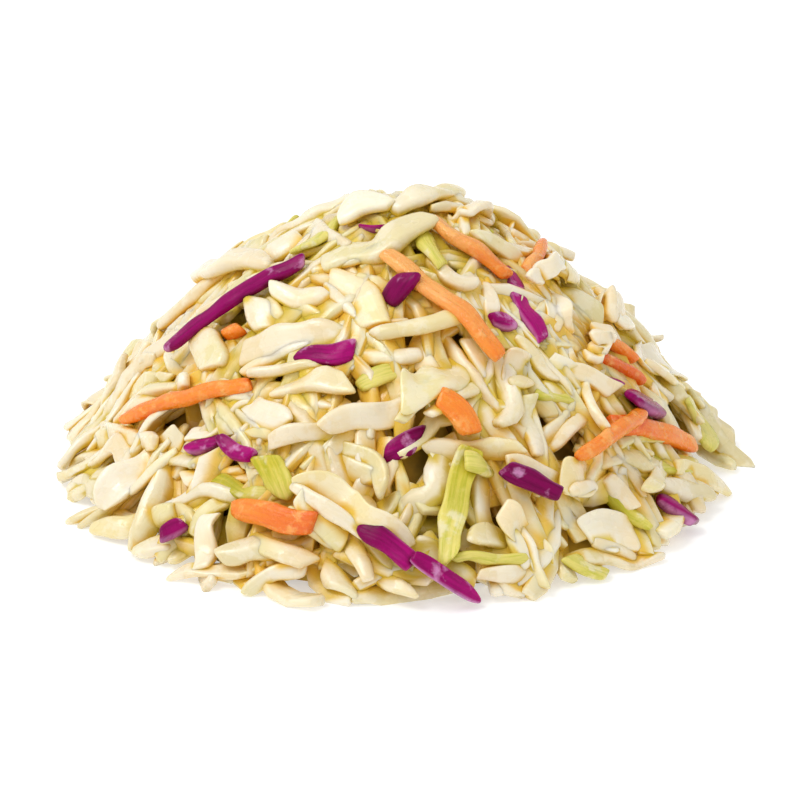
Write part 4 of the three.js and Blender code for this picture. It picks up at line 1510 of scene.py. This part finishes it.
class COLESLAW_OT_core(bpy.types.Operator):
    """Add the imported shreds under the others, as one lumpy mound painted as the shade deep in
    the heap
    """

    bl_idname = "coleslaw.core"
    bl_label = "Core"

    def execute(self, context):
        finish = core_finish(context.scene.coleslaw_colours.juice)
        add_piece("core", core_mesh(heap_of(context.scene)), finish)
        return {"FINISHED"}


class COLESLAW_OT_white_cabbage(bpy.types.Operator):
    """Add the white cabbage shreds: the bed, the larger and outer ones, and the fine ones"""

    bl_idname = "coleslaw.white_cabbage"
    bl_label = "White cabbage"

    def execute(self, context):
        shreds = shreds_of(context.scene, "white")
        bed = [shred for shred in shreds if shred.role == "bed"]
        large = [shred for shred in shreds if is_in_front(shred)]
        large += ribs_of(large) + [shred for shred in shreds if shred.role == "rim"]
        fine = [s for s in shreds if s.role not in ("bed", "rim") and not is_in_front(s)]
        pieces = (
            ("packed_white_cabbage", bed, 0),
            ("white_cabbage", large, 1),
            ("fine_white_cabbage", fine, 0),
        )
        return add_shreds(context.scene, "white_cabbage", pieces)


class COLESLAW_OT_green_leaf(bpy.types.Operator):
    """Add the shreds of green cabbage leaf"""

    bl_idname = "coleslaw.green_leaf"
    bl_label = "Green leaf"

    def execute(self, context):
        pieces = [("green_leaf", shreds_of(context.scene, "green"), 1)]
        return add_shreds(context.scene, "green_leaf", pieces)


class COLESLAW_OT_red_cabbage(bpy.types.Operator):
    """Add the red cabbage shreds"""

    bl_idname = "coleslaw.red_cabbage"
    bl_label = "Red cabbage"

    def execute(self, context):
        pieces = [("red_cabbage", shreds_of(context.scene, "red"), 1)]
        return add_shreds(context.scene, "red_cabbage", pieces)


class COLESLAW_OT_carrot(bpy.types.Operator):
    """Add the carrot shreds"""

    bl_idname = "coleslaw.carrot"
    bl_label = "Carrot"

    def execute(self, context):
        pieces = [("carrot", shreds_of(context.scene, "carrot"), 1)]
        return add_shreds(context.scene, "carrot", pieces)


class COLESLAW_OT_shade(bpy.types.Operator):
    """Work out how far each point of the pieces is shaded by the others"""

    bl_idname = "coleslaw.shade"
    bl_label = "Shade the depths"

    def execute(self, context):
        shade_pieces([piece for piece in context.scene.objects if piece.name in SHADED])
        return {"FINISHED"}


class COLESLAW_OT_stage(bpy.types.Operator):
    """Add the table, the soft light and the camera"""

    bl_idname = "coleslaw.stage"
    bl_label = "Table, light and camera"

    def execute(self, context):
        scene = context.scene
        add_table(scene, scene.coleslaw_stage)
        add_light(scene, scene.coleslaw_stage)
        add_camera(scene, scene.coleslaw_stage)
        scene.view_settings.view_transform = "Standard"
        return {"FINISHED"}


SHADED = (
    "core",
    "packed_white_cabbage",
    "white_cabbage",
    "fine_white_cabbage",
    "green_leaf",
    "red_cabbage",
    "carrot",
)

# The stage, in metres.
TABLE_SIZE = 6
LAMP_PLACE = Vector((-0.8, -0.35, 1.5))
LAMP_SIZE = 0.9
SENSOR_WIDTH = 36  # in mm


def add_table(scene, stage):
    bm = bmesh.new()
    bmesh.ops.create_grid(bm, x_segments=1, y_segments=1, size=TABLE_SIZE / 2)
    mesh = bpy.data.meshes.new("table")
    bm.to_mesh(mesh)
    bm.free()
    make = Finish("table_top")
    surface = make.done(
        base_color=(*stage.table, 1),
        roughness=0.6,
        specular_ior_level=0.0,
        emission_color=(1, 1, 1, 1),
        emission_strength=stage.table_glow,
    )
    mesh.materials.append(surface)
    table = bpy.data.objects.new("table", mesh)
    scene.collection.objects.link(table)


def add_light(scene, stage):
    world = bpy.data.worlds.new("sky")
    world.use_nodes = True
    sky = world.node_tree.nodes["Background"]
    sky.inputs["Color"].default_value = (1, 1, 1, 1)
    sky.inputs["Strength"].default_value = stage.sky_strength
    scene.world = world
    lamp = bpy.data.lights.new("soft_lamp", "AREA")
    lamp.shape = "DISK"
    lamp.size = LAMP_SIZE
    lamp.energy = stage.lamp_power
    holder = bpy.data.objects.new("soft_lamp", lamp)
    holder.location = LAMP_PLACE
    holder.rotation_euler = (-LAMP_PLACE).to_track_quat("-Z", "Y").to_euler()
    scene.collection.objects.link(holder)


def add_camera(scene, stage):
    lens = bpy.data.cameras.new("camera")
    lens.lens = stage.camera_lens
    lens.sensor_width = SENSOR_WIDTH
    camera = bpy.data.objects.new("camera", lens)
    aim = Vector((0, 0, stage.camera_height))
    steepness = stage.camera_elevation
    back = Vector((0, -math.cos(steepness), math.sin(steepness)))
    camera.location = aim + back * stage.camera_distance
    camera.rotation_euler = (-back).to_track_quat("-Z", "Y").to_euler()
    scene.collection.objects.link(camera)
    scene.camera = camera


class COLESLAW_PT_panel(bpy.types.Panel):
    """The heap's sizes and colours, and its pieces"""

    bl_idname = "COLESLAW_PT_panel"
    bl_label = "Coleslaw heap"
    bl_space_type = "VIEW_3D"
    bl_region_type = "UI"
    bl_category = "Coleslaw"

    def draw(self, context):
        scene = context.scene
        for settings in (scene.coleslaw_form, scene.coleslaw_colours, scene.coleslaw_stage):
            box = self.layout.box()
            for name in settings.__annotations__:
                box.prop(settings, name)
        for operator in OPERATORS:
            self.layout.operator(operator.bl_idname)


OPERATORS = (
    COLESLAW_OT_core,
    COLESLAW_OT_white_cabbage,
    COLESLAW_OT_green_leaf,
    COLESLAW_OT_red_cabbage,
    COLESLAW_OT_carrot,
    COLESLAW_OT_shade,
    COLESLAW_OT_stage,
)
GROUPS = (ColeslawForm, ColeslawColours, ColeslawStage)


def register():
    for cls in GROUPS + OPERATORS + (COLESLAW_PT_panel,):
        bpy.utils.register_class(cls)
    bpy.types.Scene.coleslaw_form = bpy.props.PointerProperty(type=ColeslawForm)
    bpy.types.Scene.coleslaw_colours = bpy.props.PointerProperty(type=ColeslawColours)
    bpy.types.Scene.coleslaw_stage = bpy.props.PointerProperty(type=ColeslawStage)


def unregister():
    del bpy.types.Scene.coleslaw_stage
    del bpy.types.Scene.coleslaw_colours
    del bpy.types.Scene.coleslaw_form
    for cls in reversed(GROUPS + OPERATORS + (COLESLAW_PT_panel,)):
        bpy.utils.unregister_class(cls)


def main():
    register()
    for operator in OPERATORS:
        family, name = operator.bl_idname.split(".")
        getattr(getattr(bpy.ops, family), name)()


if __name__ == "__main__":
    main()
